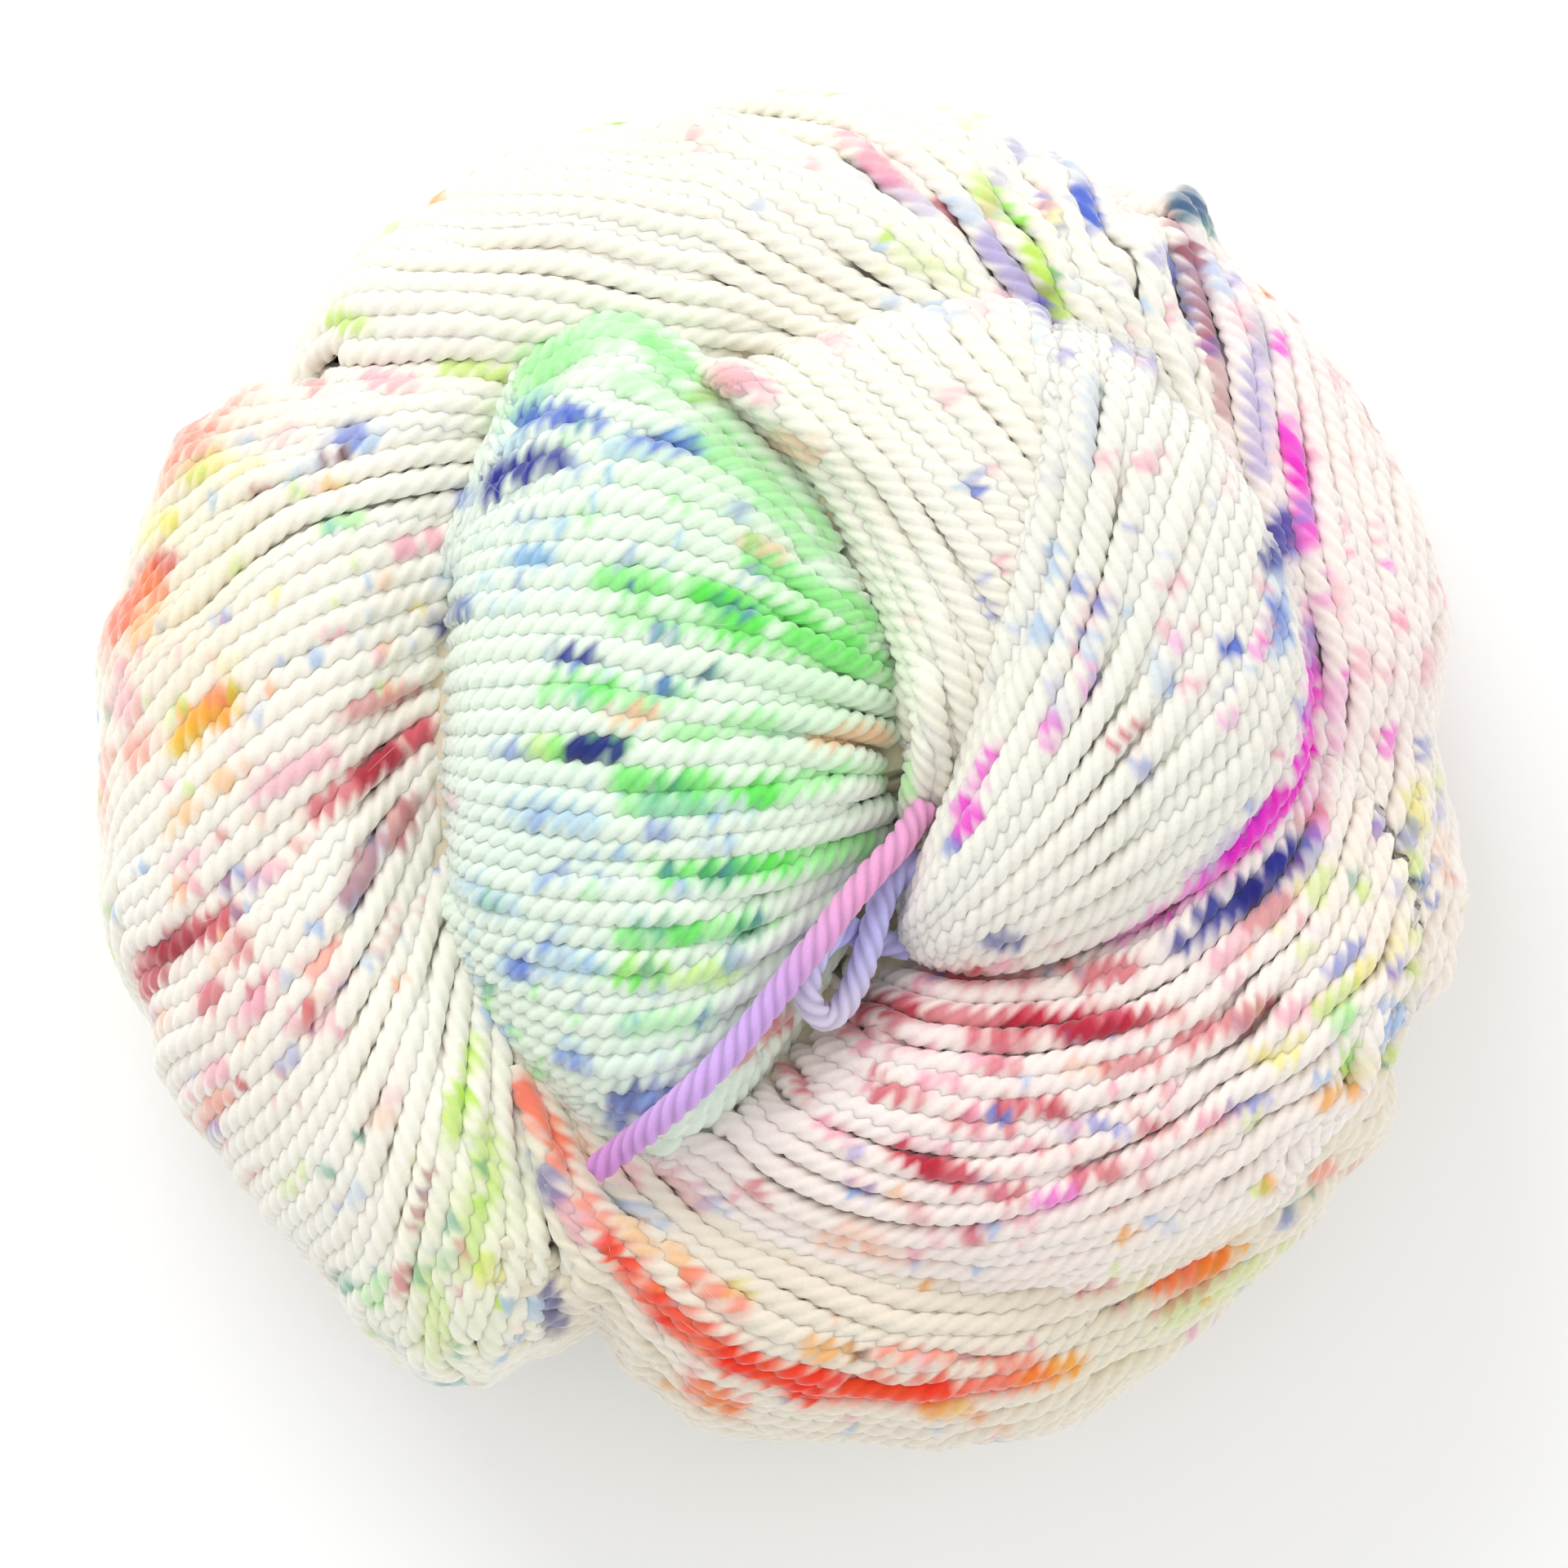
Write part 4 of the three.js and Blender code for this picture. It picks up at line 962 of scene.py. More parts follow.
@dataclass
class Strand:
    """A finished strand: its centre line, frames, radius and base colour."""

    points: np.ndarray
    tangents: np.ndarray
    normals: np.ndarray
    radius: np.ndarray
    lead: float
    base: tuple[float, float, float]
    phase: float
    seed: int
    groove: float = 1.0  # painted shade: how much of the colour is left in the grooves between the plies

    def turn(self) -> np.ndarray:
        """How far the plies have turned at each station, in radians."""
        steps = np.linalg.norm(np.diff(self.points, axis=0), axis=1)
        return self.phase - 2 * math.pi * np.concatenate([[0], np.cumsum(steps)]) / self.lead

    def ply_points(self) -> np.ndarray:
        """Finds where the outside of each ply lies.

        Returns:
            Points by station and ply.
        """
        angle = self.turn()[:, None] + 2 * math.pi * (np.arange(STRAND.plies) + 0.5) / STRAND.plies
        across = np.cross(self.tangents, self.normals)
        out = (
            self.normals[:, None] * np.cos(angle)[..., None] + across[:, None] * np.sin(angle)[..., None]
        )
        return self.points[:, None] + out * self.radius[:, None, None]

    def stations(self) -> np.ndarray:
        """Picks the stations that are meshed.

        Returns:
            Their numbers: all of them higher up, every second one lower down.
        """
        index = np.arange(len(self.points))
        kept = (self.points[:, 2] > STRAND.coarse_below) | (index % 2 == 0)
        kept[-1] = True
        return index[kept]


class Dye:
    """Where the dye lies: the read marks, soft washes and seeded speckles."""

    SEED = 2302
    ALONG = 0.55  # how much a mark is drawn out along the strand
    SPECKLE_WIDTH = (0.28, 0.62)
    SPECKLE_STRENGTH = (0.25, 0.75)
    STRAY_SPECKLES = 760
    STRAY_WIDTH = (0.4, 1.1)
    STRAY_STRENGTH = (0.3, 0.9)
    STRAY_SPREAD = 1.3  # strays reach a little further than marks of their width
    STRAY_RISE = 0.35  # how far up the side strays still lie
    STRAY_REACH = (56, 56, 27)
    STRAY_MIDDLE = (0, 0, 22)
    SECTORS = 7  # the side is dyed in sectors, each with its own inks
    SECTOR_STEP = 3  # how many inks the choice moves on from one sector to the next
    SECTOR_INKS = 4
    SEARCH = 4  # how far beyond a strand a mark is still looked for
    FACING_FROM, FACING_RANGE = -0.05, 0.45  # how far a strand looks up to take the marks
    TOP_FROM, TOP_RANGE = 14, 8  # height from which the marks count, and where they do in full
    WASH_PATCHY = 0.3
    MARK_END = 4  # where a mark stops, in squares of its width
    RIM_FROM, RIM_RANGE = 0.08, 0.7  # where a mark's dye starts and becomes full
    GLAZE = 0.65  # how much of the ground shows through the dye
    PATCHY = 0.9  # how unevenly the dye took
    PATCH_LENGTH = 1.6
    PLY_SHARE = 0.6  # dye wicks round the strand, so its plies differ less than their places

    def __init__(self) -> None:
        """Gathers the read marks and scatters the seeded ones."""
        rows = [
            (*row, *linear_colour(ink.value)) for ink, marks in MARKS.items() for row in marks
        ]
        rng = np.random.default_rng(self.SEED)
        for spray in SPRAYS:
            rows += self._spray(rng, spray)
        self.marks = np.array(rows, float)
        self.strays = self._strays(rng)

    def _spray(self, rng: np.random.Generator, spray: Spray) -> list[tuple[float, ...]]:
        """Scatters the speckles of one field.

        Args:
            rng: the random source.
            spray: the field.

        Returns:
            Rows like those of the marks.
        """
        rows = []
        for _ in range(spray.count):
            angle, away = rng.uniform(0, 2 * math.pi), spray.reach * math.sqrt(rng.uniform())
            x, y = spray.x + away * math.cos(angle), spray.y + away * math.sin(angle)
            width = rng.uniform(*self.SPECKLE_WIDTH)
            ink = spray.inks[rng.integers(len(spray.inks))]
            strength = rng.uniform(*self.SPECKLE_STRENGTH)
            rows.append((x, y, x, y, width, strength, *linear_colour(ink.value)))
        return rows

    def _strays(self, rng: np.random.Generator) -> np.ndarray:
        """Scatters speckles over the sides and the underside.

        Args:
            rng: the random source.

        Returns:
            Rows of x, y, z, width, strength and linear colour.
        """
        rows = []
        inks = [ink for ink in Ink if ink not in (Ink.BROWN, Ink.NAVY)]
        for _ in range(self.STRAY_SPECKLES):
            direction = rng.normal(size=3)
            direction[2] = -abs(direction[2]) + self.STRAY_RISE
            direction /= np.linalg.norm(direction)
            round_share = math.atan2(direction[1], direction[0]) / (2 * math.pi) + 0.5
            sector = int(self.SECTORS * round_share)
            pick = sector * self.SECTOR_STEP + int(rng.integers(self.SECTOR_INKS))
            ink = inks[pick % len(inks)]
            place = direction * np.array(self.STRAY_REACH) + np.array(self.STRAY_MIDDLE)
            width = rng.uniform(*self.STRAY_WIDTH)
            strength = rng.uniform(*self.STRAY_STRENGTH)
            rows.append((*place, width, strength, *linear_colour(ink.value)))
        return np.array(rows)

    def paint(self, strand: Strand) -> np.ndarray:
        """Works out the colour of each ply along a strand.

        Args:
            strand: the strand to colour.

        Returns:
            Linear colours by station, ply and channel.
        """
        count, plies = len(strand.points), STRAND.plies
        rng = np.random.default_rng(strand.seed)
        colour = np.tile(np.array(strand.base), (count, plies, 1))
        length = count * STRAND.step
        shared = self.PATCHY * wandering(rng, count, length, self.PATCH_LENGTH)
        own = [self.PATCHY * wandering(rng, count, length, self.PATCH_LENGTH) for _ in range(plies)]
        patchy = 1 + np.stack([(shared + ply) / 2 for ply in own], axis=1)
        p = strand.ply_points()
        p = strand.points[:, None] + self.PLY_SHARE * (p - strand.points[:, None])
        flat = p[..., :2]
        t = unit(strand.tangents[:, None, :2])
        low, high = flat.min((0, 1)) - self.SEARCH, flat.max((0, 1)) + self.SEARCH
        facing_up = smooth((strand.normals[:, 2:] - self.FACING_FROM) / self.FACING_RANGE)
        top = smooth((p[..., 2] - self.TOP_FROM) / self.TOP_RANGE) * facing_up
        self.wash(colour, flat, top * (1 - self.WASH_PATCHY + self.WASH_PATCHY * patchy))
        if top.max() > 0:
            for x0, y0, x1, y1, width, strength, *ink in self.marks:
                if max(x0, x1) < low[0] or min(x0, x1) > high[0]:
                    continue
                if max(y0, y1) < low[1] or min(y0, y1) > high[1]:
                    continue
                a, ab = np.array([x0, y0]), np.array([x1 - x0, y1 - y0])
                share = np.clip((flat - a) @ ab / max(ab @ ab, TINY), 0, 1)
                away = flat - a - share[..., None] * ab
                lengthwise = np.sum(away * t, axis=-1) * self.ALONG
                sideways = away[..., 0] * t[..., 1] - away[..., 1] * t[..., 0]
                far = (lengthwise**2 + sideways**2) / width**2
                self._stain(colour, patchy, far, strength * top, np.array(ink))
        for x, y, z, width, strength, *ink in self.strays:
            far = np.sum((p - np.array([x, y, z])) ** 2, axis=-1) / (width * self.STRAY_SPREAD) ** 2
            self._stain(colour, patchy, far, strength * (1 - top), np.array(ink))
        return colour

    @staticmethod
    def wash(colour: np.ndarray, flat: np.ndarray, strength: np.ndarray) -> None:
        """Tints colours in place with the soft washes.

        Args:
            colour: linear colours, channels in the last axis.
            flat: their plan places, x and y in the last axis.
            strength: how much of each wash they take.
        """
        for wash in WASHES:
            away = np.linalg.norm(flat - np.array([wash.x, wash.y]), axis=-1) / wash.spread
            weight = wash.strength * np.exp(-away * away) * strength
            colour *= 1 - weight[..., None] * (1 - np.array(linear_colour(wash.ink.value)))

    def _stain(self, colour: np.ndarray, patchy: np.ndarray, far: np.ndarray,
               strength: np.ndarray, ink: np.ndarray) -> None:
        """Dyes the stations near a mark in place, unevenly from ply to ply.

        Args:
            colour: linear colours by station, ply and channel.
            patchy: how well each ply takes the dye.
            far: distance from the mark, squared, in squares of its width.
            strength: how strong the mark is there.
            ink: its linear colour.
        """
        near = far < self.MARK_END
        if near.any():
            weight = np.exp(-far[near]) * patchy[near]
            weight = (strength[near] * smooth((weight - self.RIM_FROM) / self.RIM_RANGE))[:, None]
            dyed = ink * (1 - self.GLAZE + self.GLAZE * colour[near])
            colour[near] += weight * (dyed - colour[near])


class SheafWeaver:
    """Lays the strands of a sheaf between its guides."""

    SPARE = 0.2  # share of a strand by which the widest place between guides may be short
    LEAST_LOBE_SPACING = 0.55  # a lobe's strands pile up at its ends, so few are left out
    OUTWARD_SHARE = 0.4  # how much the rough outward direction counts where strands cross
    WIDEST = 97  # percentile of the gap between guides that sets how many strands fill it
    ROLL_SCALE = 1.15  # the section's skin is longer than a circle of its depth
    REST_EDGE, REST_FADE = 1.06, 0.08  # how far out a lobe still rests on the one under it
    NORMAL_REACH, SPACING_REACH = 4, 14  # stations to either side that even a value out
    SWAY_LENGTH, LIFT_LENGTH, WIDTH_LENGTH = 9, 14, 5  # wavelengths of a strand's wander
    LIFT_SPREAD = 0.5  # how much whole strands differ in lift
    REST_BELOW, REST_SHARE = 8, 0.98  # a strand this low stays above the floor by its radius
    CROWDED_WIDTH, WIDTH_GAIN, NARROWEST = 0.42, 0.62, 0.84  # strands thin where they crowd
    SHORTEST = 6  # no shorter stretch of a strand is laid
    TIERS = 5  # how often every second strand may be crowded out
    FULL, GONE = 0.8, 0.46  # spacing at which a crowded strand starts to sink, and is gone
    BURIED_IN, BURIED_BELOW, BURIED_ABOVE = 4.5, 2, 20  # where a lobe hides a strand
    UNEVEN = 0.03  # how much a strand's width varies
    TAPER = 0.45  # how much a tucked end thins
    LEAD_SPREAD = (0.94, 1.06)
    SHADE_SPREAD = 0.035  # how much darker a strand may be than its group

    def __init__(self, ring: Ring, lobes: dict[int, Lobe], shape: StrandShape) -> None:
        """Keeps what the strands lie on.

        Args:
            ring: the ring.
            lobes: the lobes, by the identity of their shapes.
            shape: how a strand is made.
        """
        self.ring = ring
        self.lobes = lobes
        self.shape = shape

    def _guide_chart(self, guide: Guide, cover: Cover) -> np.ndarray:
        """Reads a guide in its surface's chart.

        Args:
            guide: the guide.
            cover: what its sheaf lies on.

        Returns:
            Its chart points: plan places on a lobe, else bearing and roll.
        """
        if cover is Cover.LOBE:
            return np.array(guide.plan, float)
        plan = np.array(guide.plan, float).reshape(-1, 2)
        if len(plan):
            back = unit(plan[0] - plan[1]) * self.shape.lead_in
            plan = np.concatenate([[plan[0] + back], plan])
        rows = self.ring.chart(plan) if len(plan) else np.empty((0, 2))
        under = np.array(guide.under, float).reshape(-1, 2)
        if len(rows):
            rows[:, 0] = np.unwrap(rows[:, 0], period=360)
            if not len(under):
                bearing, roll = rows[-1]
                under = np.array([(bearing + UNDER_DRIFT * (roll - r), r) for r in UNDER_ROLLS])
            under[:, 0] += 360 * np.round((rows[-1, 0] - under[0, 0]) / 360)
        return np.concatenate([rows, under])

    def _charts(self, sheaf: Sheaf) -> tuple[np.ndarray, float]:
        """Spreads the guides of a sheaf evenly.

        Args:
            sheaf: the sheaf.

        Returns:
            Chart points by guide and station, and the length of the longest guide.
        """
        scale = np.ones(2)
        if sheaf.cover is not Cover.LOBE:
            scale = np.radians([RING.crown_radius + RING.tube / 2, RING.tube * self.ROLL_SCALE])
        charts = [self._guide_chart(g, sheaf.cover) for g in sheaf.guides]
        if sheaf.cover is not Cover.LOBE:
            for chart in charts[1:]:
                chart[:, 0] += 360 * np.round((charts[0][-1, 0] - chart[-1, 0]) / 360)
        lengths = [np.linalg.norm(np.diff(c * scale, axis=0), axis=1).sum() for c in charts]
        count = int(max(lengths) / self.shape.step)
        return np.stack([resample(c, scale, count) for c in charts]), max(lengths)

    def _place(self, sheaf: Sheaf, chart: np.ndarray) -> np.ndarray:
        """Puts chart points on the sheaf's surface.

        Args:
            sheaf: the sheaf.
            chart: its chart points.

        Returns:
            Points with x, y and z in the last axis.
        """
        if sheaf.cover is Cover.LOBE:
            points = self.lobes[id(sheaf.lobe)].place(chart)
            share = self.lobes[id(sheaf.lobe)].out(chart[..., 0], chart[..., 1])[0]
            for shape in sheaf.rests_on:
                top = self.lobes[id(shape)].height(points[..., 0], points[..., 1]) + self.shape.stack
                weight = smooth((self.REST_EDGE - share) / self.REST_FADE)
                points[..., 2] += weight * np.maximum(top - points[..., 2], 0)
            return points
        over = self.lobes[id(sheaf.lobe)] if sheaf.cover is Cover.RING_AND_LOBE else None
        return self.ring.place(chart, over)

    def _across(self, sheaf: Sheaf, guides: np.ndarray) -> np.ndarray:
        """Works out how many strands lie between the guides.

        Args:
            sheaf: the sheaf.
            guides: its evenly spread guides.

        Returns:
            Places of the strands, in guide numbers.
        """
        points = self._place(sheaf, guides)
        along = unit(np.gradient(points, axis=1))
        gaps = np.diff(points, axis=0)
        middle = unit(along[:-1] + along[1:])
        wide = np.linalg.norm(np.cross(middle, gaps), axis=-1)
        needed = np.percentile(wide, self.WIDEST, axis=1) / sheaf.pitch - self.SPARE
        counts = np.maximum(np.ceil(needed), 1).astype(int)
        places = []
        for i, count in enumerate(counts):
            places += [i + k / count for k in range(count)]
        places.append(len(counts))
        extra = range(1, sheaf.borders + 1)
        first = [-k / counts[0] for k in extra][::-1]
        last = [len(counts) + k / counts[-1] for k in extra]
        return np.array(first + places + last)

    def weave(self, sheaf: Sheaf) -> list[Strand]:
        """Lays the strands of a sheaf.

        Args:
            sheaf: the sheaf to lay.

        Returns:
            The strands that show, cut where they are packed too deep.
        """
        s = self.shape
        guides, length = self._charts(sheaf)
        at = self._across(sheaf, guides)
        chart = catmull_rom(guides, at)
        rng = np.random.default_rng(sheaf.seed)
        count = chart.shape[1]
        points = self._place(sheaf, chart)
        along = unit(np.gradient(points, axis=1))
        across = np.gradient(points, axis=0)
        normals = np.cross(along, across)
        outward = self._outward(points)
        normals *= np.sign(np.sum(normals * outward, axis=-1, keepdims=True))
        normals = normals + self.OUTWARD_SHARE * sheaf.pitch * outward
        normals = unit(self._steady(normals, self.NORMAL_REACH))
        side = unit(np.cross(normals, along))
        spacing = np.linalg.norm(np.cross(along, across), axis=-1) / sheaf.pitch
        steady = self._steady(spacing[..., None], self.SPACING_REACH)[..., 0]
        spacing = np.maximum(spacing, steady)
        held = int(s.held / s.step)
        spacing[:, :held] = np.maximum(spacing[:, :held], spacing[:, held : held + 1])
        if sheaf.cover is Cover.LOBE:
            spacing = np.maximum(spacing, self.LEAST_LOBE_SPACING)
            normals = unit(normals + np.array([0, 0, s.lobe_upright]))
        radius = sheaf.pitch * s.fullness
        strands = []
        last = len(at) - 1
        for j in range(len(at)):
            sink, keep = self._crowding(j, spacing[j])
            border = max(sheaf.borders - j, j - (last - sheaf.borders), 0)
            sink = sink + border * s.border_sink
            sway = s.wander * wandering(rng, count, length, self.SWAY_LENGTH)
            lift = wandering(rng, count, length, self.LIFT_LENGTH)
            lift = s.lift * (lift + self.LIFT_SPREAD * rng.normal())
            centre = points[j] - normals[j] * (radius + sink - lift)[:, None]
            centre += side[j] * sway[:, None]
            floor = radius * self.REST_SHARE * (points[j][:, 2] < self.REST_BELOW)
            centre[:, 2] = np.maximum(centre[:, 2], floor)
            keep &= self._shows(sheaf, points[j], centre)
            base = linear_colour(sheaf.finish.value)
            share = self.CROWDED_WIDTH + self.WIDTH_GAIN * spacing[j]
            width = radius * np.clip(share, self.NARROWEST, 1)
            for a, b in self._runs(keep, int(self.SHORTEST / s.step)):
                part = slice(a, b)
                strands.append(
                    self._strand(centre[part], normals[j][part], width[part], sheaf.lead,
                                 base, rng, (a > 0, b < count))
                )
        return strands

    @staticmethod
    def _outward(points: np.ndarray) -> np.ndarray:
        """Finds rough directions away from the bun's middle.

        Args:
            points: places on the skin.

        Returns:
            Unit vectors, straight up or down inside the ring.
        """
        radius = np.maximum(np.hypot(points[..., 0], points[..., 1]), TINY)[..., None]
        middle = points * np.minimum(RING.rest_radius / radius, 1)
        middle[..., 2] = RING.middle
        return unit(points - middle)

    @staticmethod
    def _steady(values: np.ndarray, reach: int) -> np.ndarray:
        """Evens values out along the strands.

        Args:
            values: values by strand, station and channel.
            reach: how many stations to either side count.

        Returns:
            The evened values.
        """
        kernel = np.hanning(2 * reach + 3)[1:-1]
        kernel /= kernel.sum()
        padded = np.pad(values, ((0, 0), (reach, reach), (0, 0)), mode="edge")
        return sum(k * padded[:, i : i + values.shape[1]] for i, k in enumerate(kernel))

    def _crowding(self, index: int, spacing: np.ndarray) -> tuple[np.ndarray, np.ndarray]:
        """Decides how a strand gives way where the sheaf narrows.

        Args:
            index: its number in the sheaf.
            spacing: distance to its neighbours along it, in pitches.

        Returns:
            How deep it is pressed along its length, and where it still shows.
        """
        sink = np.zeros(len(spacing))
        keep = np.ones(len(spacing), bool)
        for tier in range(self.TIERS):
            full, gone = self.FULL / 2**tier, self.GONE / 2**tier
            if index % 2 ** (tier + 1) == 2**tier:
                sink = self.shape.crowd_sink * smooth((full - spacing) / (full - gone))
                runs = self._runs(spacing > gone, 1)
                widest = max(runs, key=lambda run: spacing[slice(*run)].max(), default=None)
                shortest = self.shape.shortest_crowded / self.shape.step
                keep = np.zeros(len(spacing), bool)
                for run in runs:
                    keep[slice(*run)] = run == widest or run[1] - run[0] > shortest
                break
        return sink, keep

    def _shows(self, sheaf: Sheaf, skin: np.ndarray, centre: np.ndarray) -> np.ndarray:
        """Finds where a strand isn't buried under a lobe or inside its own foot.

        Args:
            sheaf: its sheaf.
            skin: places on the skin above it.
            centre: its centre line.

        Returns:
            True where it shows.
        """
        shows = np.ones(len(skin), bool)
        if sheaf.cover is Cover.LOBE:
            return centre[:, 2] > sheaf.lobe.foot - sheaf.deep
        for shape_id, lobe in self.lobes.items():
            if sheaf.lobe is not None and shape_id == id(sheaf.lobe):
                continue
            share, rim = lobe.out(skin[:, 0], skin[:, 1])
            top = lobe.height(skin[:, 0], skin[:, 1]) - self.BURIED_BELOW
            buried = ((1 - share) * rim > self.BURIED_IN) & (skin[:, 2] < top)
            shows &= ~(buried & (skin[:, 2] > self.BURIED_ABOVE))
        return shows

    @staticmethod
    def _runs(keep: np.ndarray, shortest: int) -> list[tuple[int, int]]:
        """Unbroken stretches that are long enough to lay, as first and last station."""
        edges = np.flatnonzero(np.diff(np.concatenate([[0], keep.astype(int), [0]])))
        return [(a, b) for a, b in edges.reshape(-1, 2) if b - a >= shortest]

    def _strand(self, centre: np.ndarray, normals: np.ndarray, radius: np.ndarray, lead: float,
                base: tuple[float, float, float], rng: np.random.Generator,
                cut: tuple[bool, bool]) -> Strand:
        """Makes a strand whose cut ends tuck in and taper.

        Args:
            centre: its centre line.
            normals: directions away from the bun along it.
            radius: its radius along it.
            lead: length of yarn in one turn of its plies.
            base: its linear colour before the dye.
            rng: the random source.
            cut: whether its start and its end are tucked in.

        Returns:
            The strand.
        """
        s = self.shape
        count = len(centre)
        steps = np.arange(count) * s.step
        uneven = wandering(rng, count, steps[-1], self.WIDTH_LENGTH)
        width = radius * (1 + self.UNEVEN * uneven)
        for end, is_cut in ((steps, cut[0]), (steps[::-1], cut[1])):
            if is_cut:
                near = smooth(1 - end / s.tuck_length)
                centre = centre - normals * (s.tuck * near)[:, None]
                width = width * (1 - self.TAPER * near)
        tangents = unit(np.gradient(centre, axis=0))
        normals = unit(normals - tangents * np.sum(normals * tangents, axis=-1, keepdims=True))
        lead = lead * rng.uniform(*self.LEAD_SPREAD)
        shade = np.array(base) * (1 - self.SHADE_SPREAD * rng.uniform())
        return Strand(centre, tangents, normals, width, lead, tuple(shade),
                      rng.uniform(0, 2 * math.pi), int(rng.integers(1 << 30)))


def add_dye(mesh: bpy.types.Mesh, colours: np.ndarray) -> None:
    """Gives a mesh its dye as a colour attribute.

    Args:
        mesh: the mesh.
        colours: a linear colour for each of its points.
    """
    layer = mesh.attributes.new(DYE_LAYER, "FLOAT_COLOR", "POINT")
    opaque = np.concatenate([colours, np.ones((len(colours), 1))], axis=1)
    layer.data.foreach_set("color", opaque.astype(np.float32).ravel())


class MeshPiece:
    """Gathers strands into one joined mesh."""

    def __init__(self, name: str) -> None:
        """Starts an empty mesh.

        Args:
            name: what the object will be called.
        """
        self.name = name
        self.places: list[np.ndarray] = []
        self.faces: list[np.ndarray] = []
        self.colours: list[np.ndarray] = []
        self.count = 0
        self.triangles = 0

    def add_tube(self, strand: Strand, colours: np.ndarray) -> None:
        """Adds a plied strand.

        Args:
            strand: the strand.
            colours: linear colours by station, ply and channel.
        """
        s = STRAND
        at = strand.stations()
        sides = s.plies * s.sides_per_ply
        stations = len(at)
        binormals = np.cross(strand.tangents, strand.normals)
        angle = strand.turn()[:, None] + 2 * math.pi * np.arange(sides)[None] / sides
        profile = np.tile(s.section, s.plies)[None] * strand.radius[:, None]
        ring = (
            strand.normals[:, None] * (np.cos(angle) * profile)[..., None]
            + binormals[:, None] * (np.sin(angle) * profile)[..., None]
        )
        places = (strand.points[:, None] + ring)[at].reshape(-1, 3)
        ends = np.stack([strand.points[0], strand.points[-1]])
        colour = np.repeat(colours[at], s.sides_per_ply, axis=1)
        # painted shade: the groove side of each ply is darkened by the strand's groove share
        colour[:, :: s.sides_per_ply] *= strand.groove
        colour = colour.reshape(-1, 3)
        k, i = np.meshgrid(np.arange(stations - 1), np.arange(sides), indexing="ij")
        near, beside = k * sides + i, k * sides + (i + 1) % sides
        walls = np.stack([near, beside, beside + sides, near + sides], axis=-1).reshape(-1, 4)
        i = np.arange(sides)
        first, last = stations * sides, stations * sides + 1
        caps = np.concatenate([
            np.stack([(i + 1) % sides, i, np.full(sides, first)], axis=1),
            np.stack([i, (i + 1) % sides, np.full(sides, last)], axis=1)
            + np.array([1, 1, 0]) * (stations - 1) * sides,
        ])
        self.add_part(np.concatenate([places, ends]), [walls, caps],
                      np.concatenate([colour, colour[:1], colour[-1:]]))

    def add_part(self, places: np.ndarray, faces: list[np.ndarray], colours: np.ndarray) -> None:
        """Adds a closed part.

        Args:
            places: its points.
            faces: its faces, one array for each number of corners.
            colours: a linear colour for each point.
        """
        self.places.append(places)
        self.faces += [f + self.count for f in faces]
        self.colours.append(colours)
        self.count += len(places)
        self.triangles += sum(len(f) * (f.shape[1] - 2) for f in faces)

    def build(self, material: bpy.types.Material) -> bpy.types.Object:
        """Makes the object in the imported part's frame.

        Args:
            material: its material.

        Returns:
            The new object.
        """
        places = (np.concatenate(self.places) + VIEW_TO_BUN) * MM
        loops = np.concatenate([f.ravel() for f in self.faces])
        sizes = np.concatenate([np.full(len(f), f.shape[1]) for f in self.faces])
        mesh = bpy.data.meshes.new(self.name)
        mesh.vertices.add(len(places))
        mesh.vertices.foreach_set("co", places.astype(np.float32).ravel())
        mesh.loops.add(len(loops))
        mesh.loops.foreach_set("vertex_index", loops.astype(np.int32))
        mesh.polygons.add(len(sizes))
        starts = np.concatenate([[0], np.cumsum(sizes)[:-1]])
        mesh.polygons.foreach_set("loop_start", starts.astype(np.int32))
        mesh.polygons.foreach_set("use_smooth", np.ones(len(sizes), bool))
        mesh.update(calc_edges=True)
        add_dye(mesh, np.concatenate(self.colours))
        mesh.materials.append(material)
        obj = bpy.data.objects.new(self.name, mesh)
        bpy.context.scene.collection.objects.link(obj)
        LOG.info("%s: %d triangles", self.name, self.triangles)
        return obj


def add_node(tree: bpy.types.NodeTree, kind: str, settings: dict | None = None,
             **links: bpy.types.NodeSocket) -> bpy.types.Node:
    """Adds a node to a tree.

    Args:
        tree: the node tree.
        kind: the node's type.
        settings: node properties, or values of inputs by their names.
        links: sockets to link, by input name with underscores for spaces.

    Returns:
        The new node.
    """
    node = tree.nodes.new(kind)
    for name, value in (settings or {}).items():
        if name in node.inputs:
            node.inputs[name].default_value = value
        else:
            setattr(node, name, value)
    for name, socket in links.items():
        tree.links.new(socket, node.inputs[name.replace("_", " ")])
    return node


@dataclass(frozen=True)
class WoolFinish:
    """A wool material: roughness, sheen, how much light goes through it, and its fibre relief.

    Its colour is the dye that each mesh carries. The fibre noise has cells of about 0.4 mm, which
    is coarser than real wool fibre, so that it shows in the render.
    """

    name: str
    roughness: float
    sheen: float
    through: float
    relief: float
    fibre_scale: float = 2600
    fibre_detail: float = 3
    fibre_roughness: float = 0.6
    fibre_shade: tuple[float, float] = (0.9, 1.06)
    relief_height: float = 0.0001
    sheen_roughness: float = 0.5
    through_colours: tuple[float, float, float] = (1.0, 0.9, 0.75)
    through_depth: float = 0.0005
    shine: float = 0.2


# Plied wool of the hank: matt, with a soft halo and light that bleeds into the grooves.
HANK_WOOL = WoolFinish("hand_dyed_plied_wool", 0.88, 0.7, 0.4, 0.35)
# The yarn packed inside: seen only as warm shade between strands.
CORE_WOOL = WoolFinish("packed_wool_in_shade", 0.95, 0.0, 0.3, 0.5)
# The tie: smoother cotton-like yarn with a slight lustre.
TIE_YARN = WoolFinish("smooth_tie_yarn", 0.7, 0.15, 0.2, 0.2)
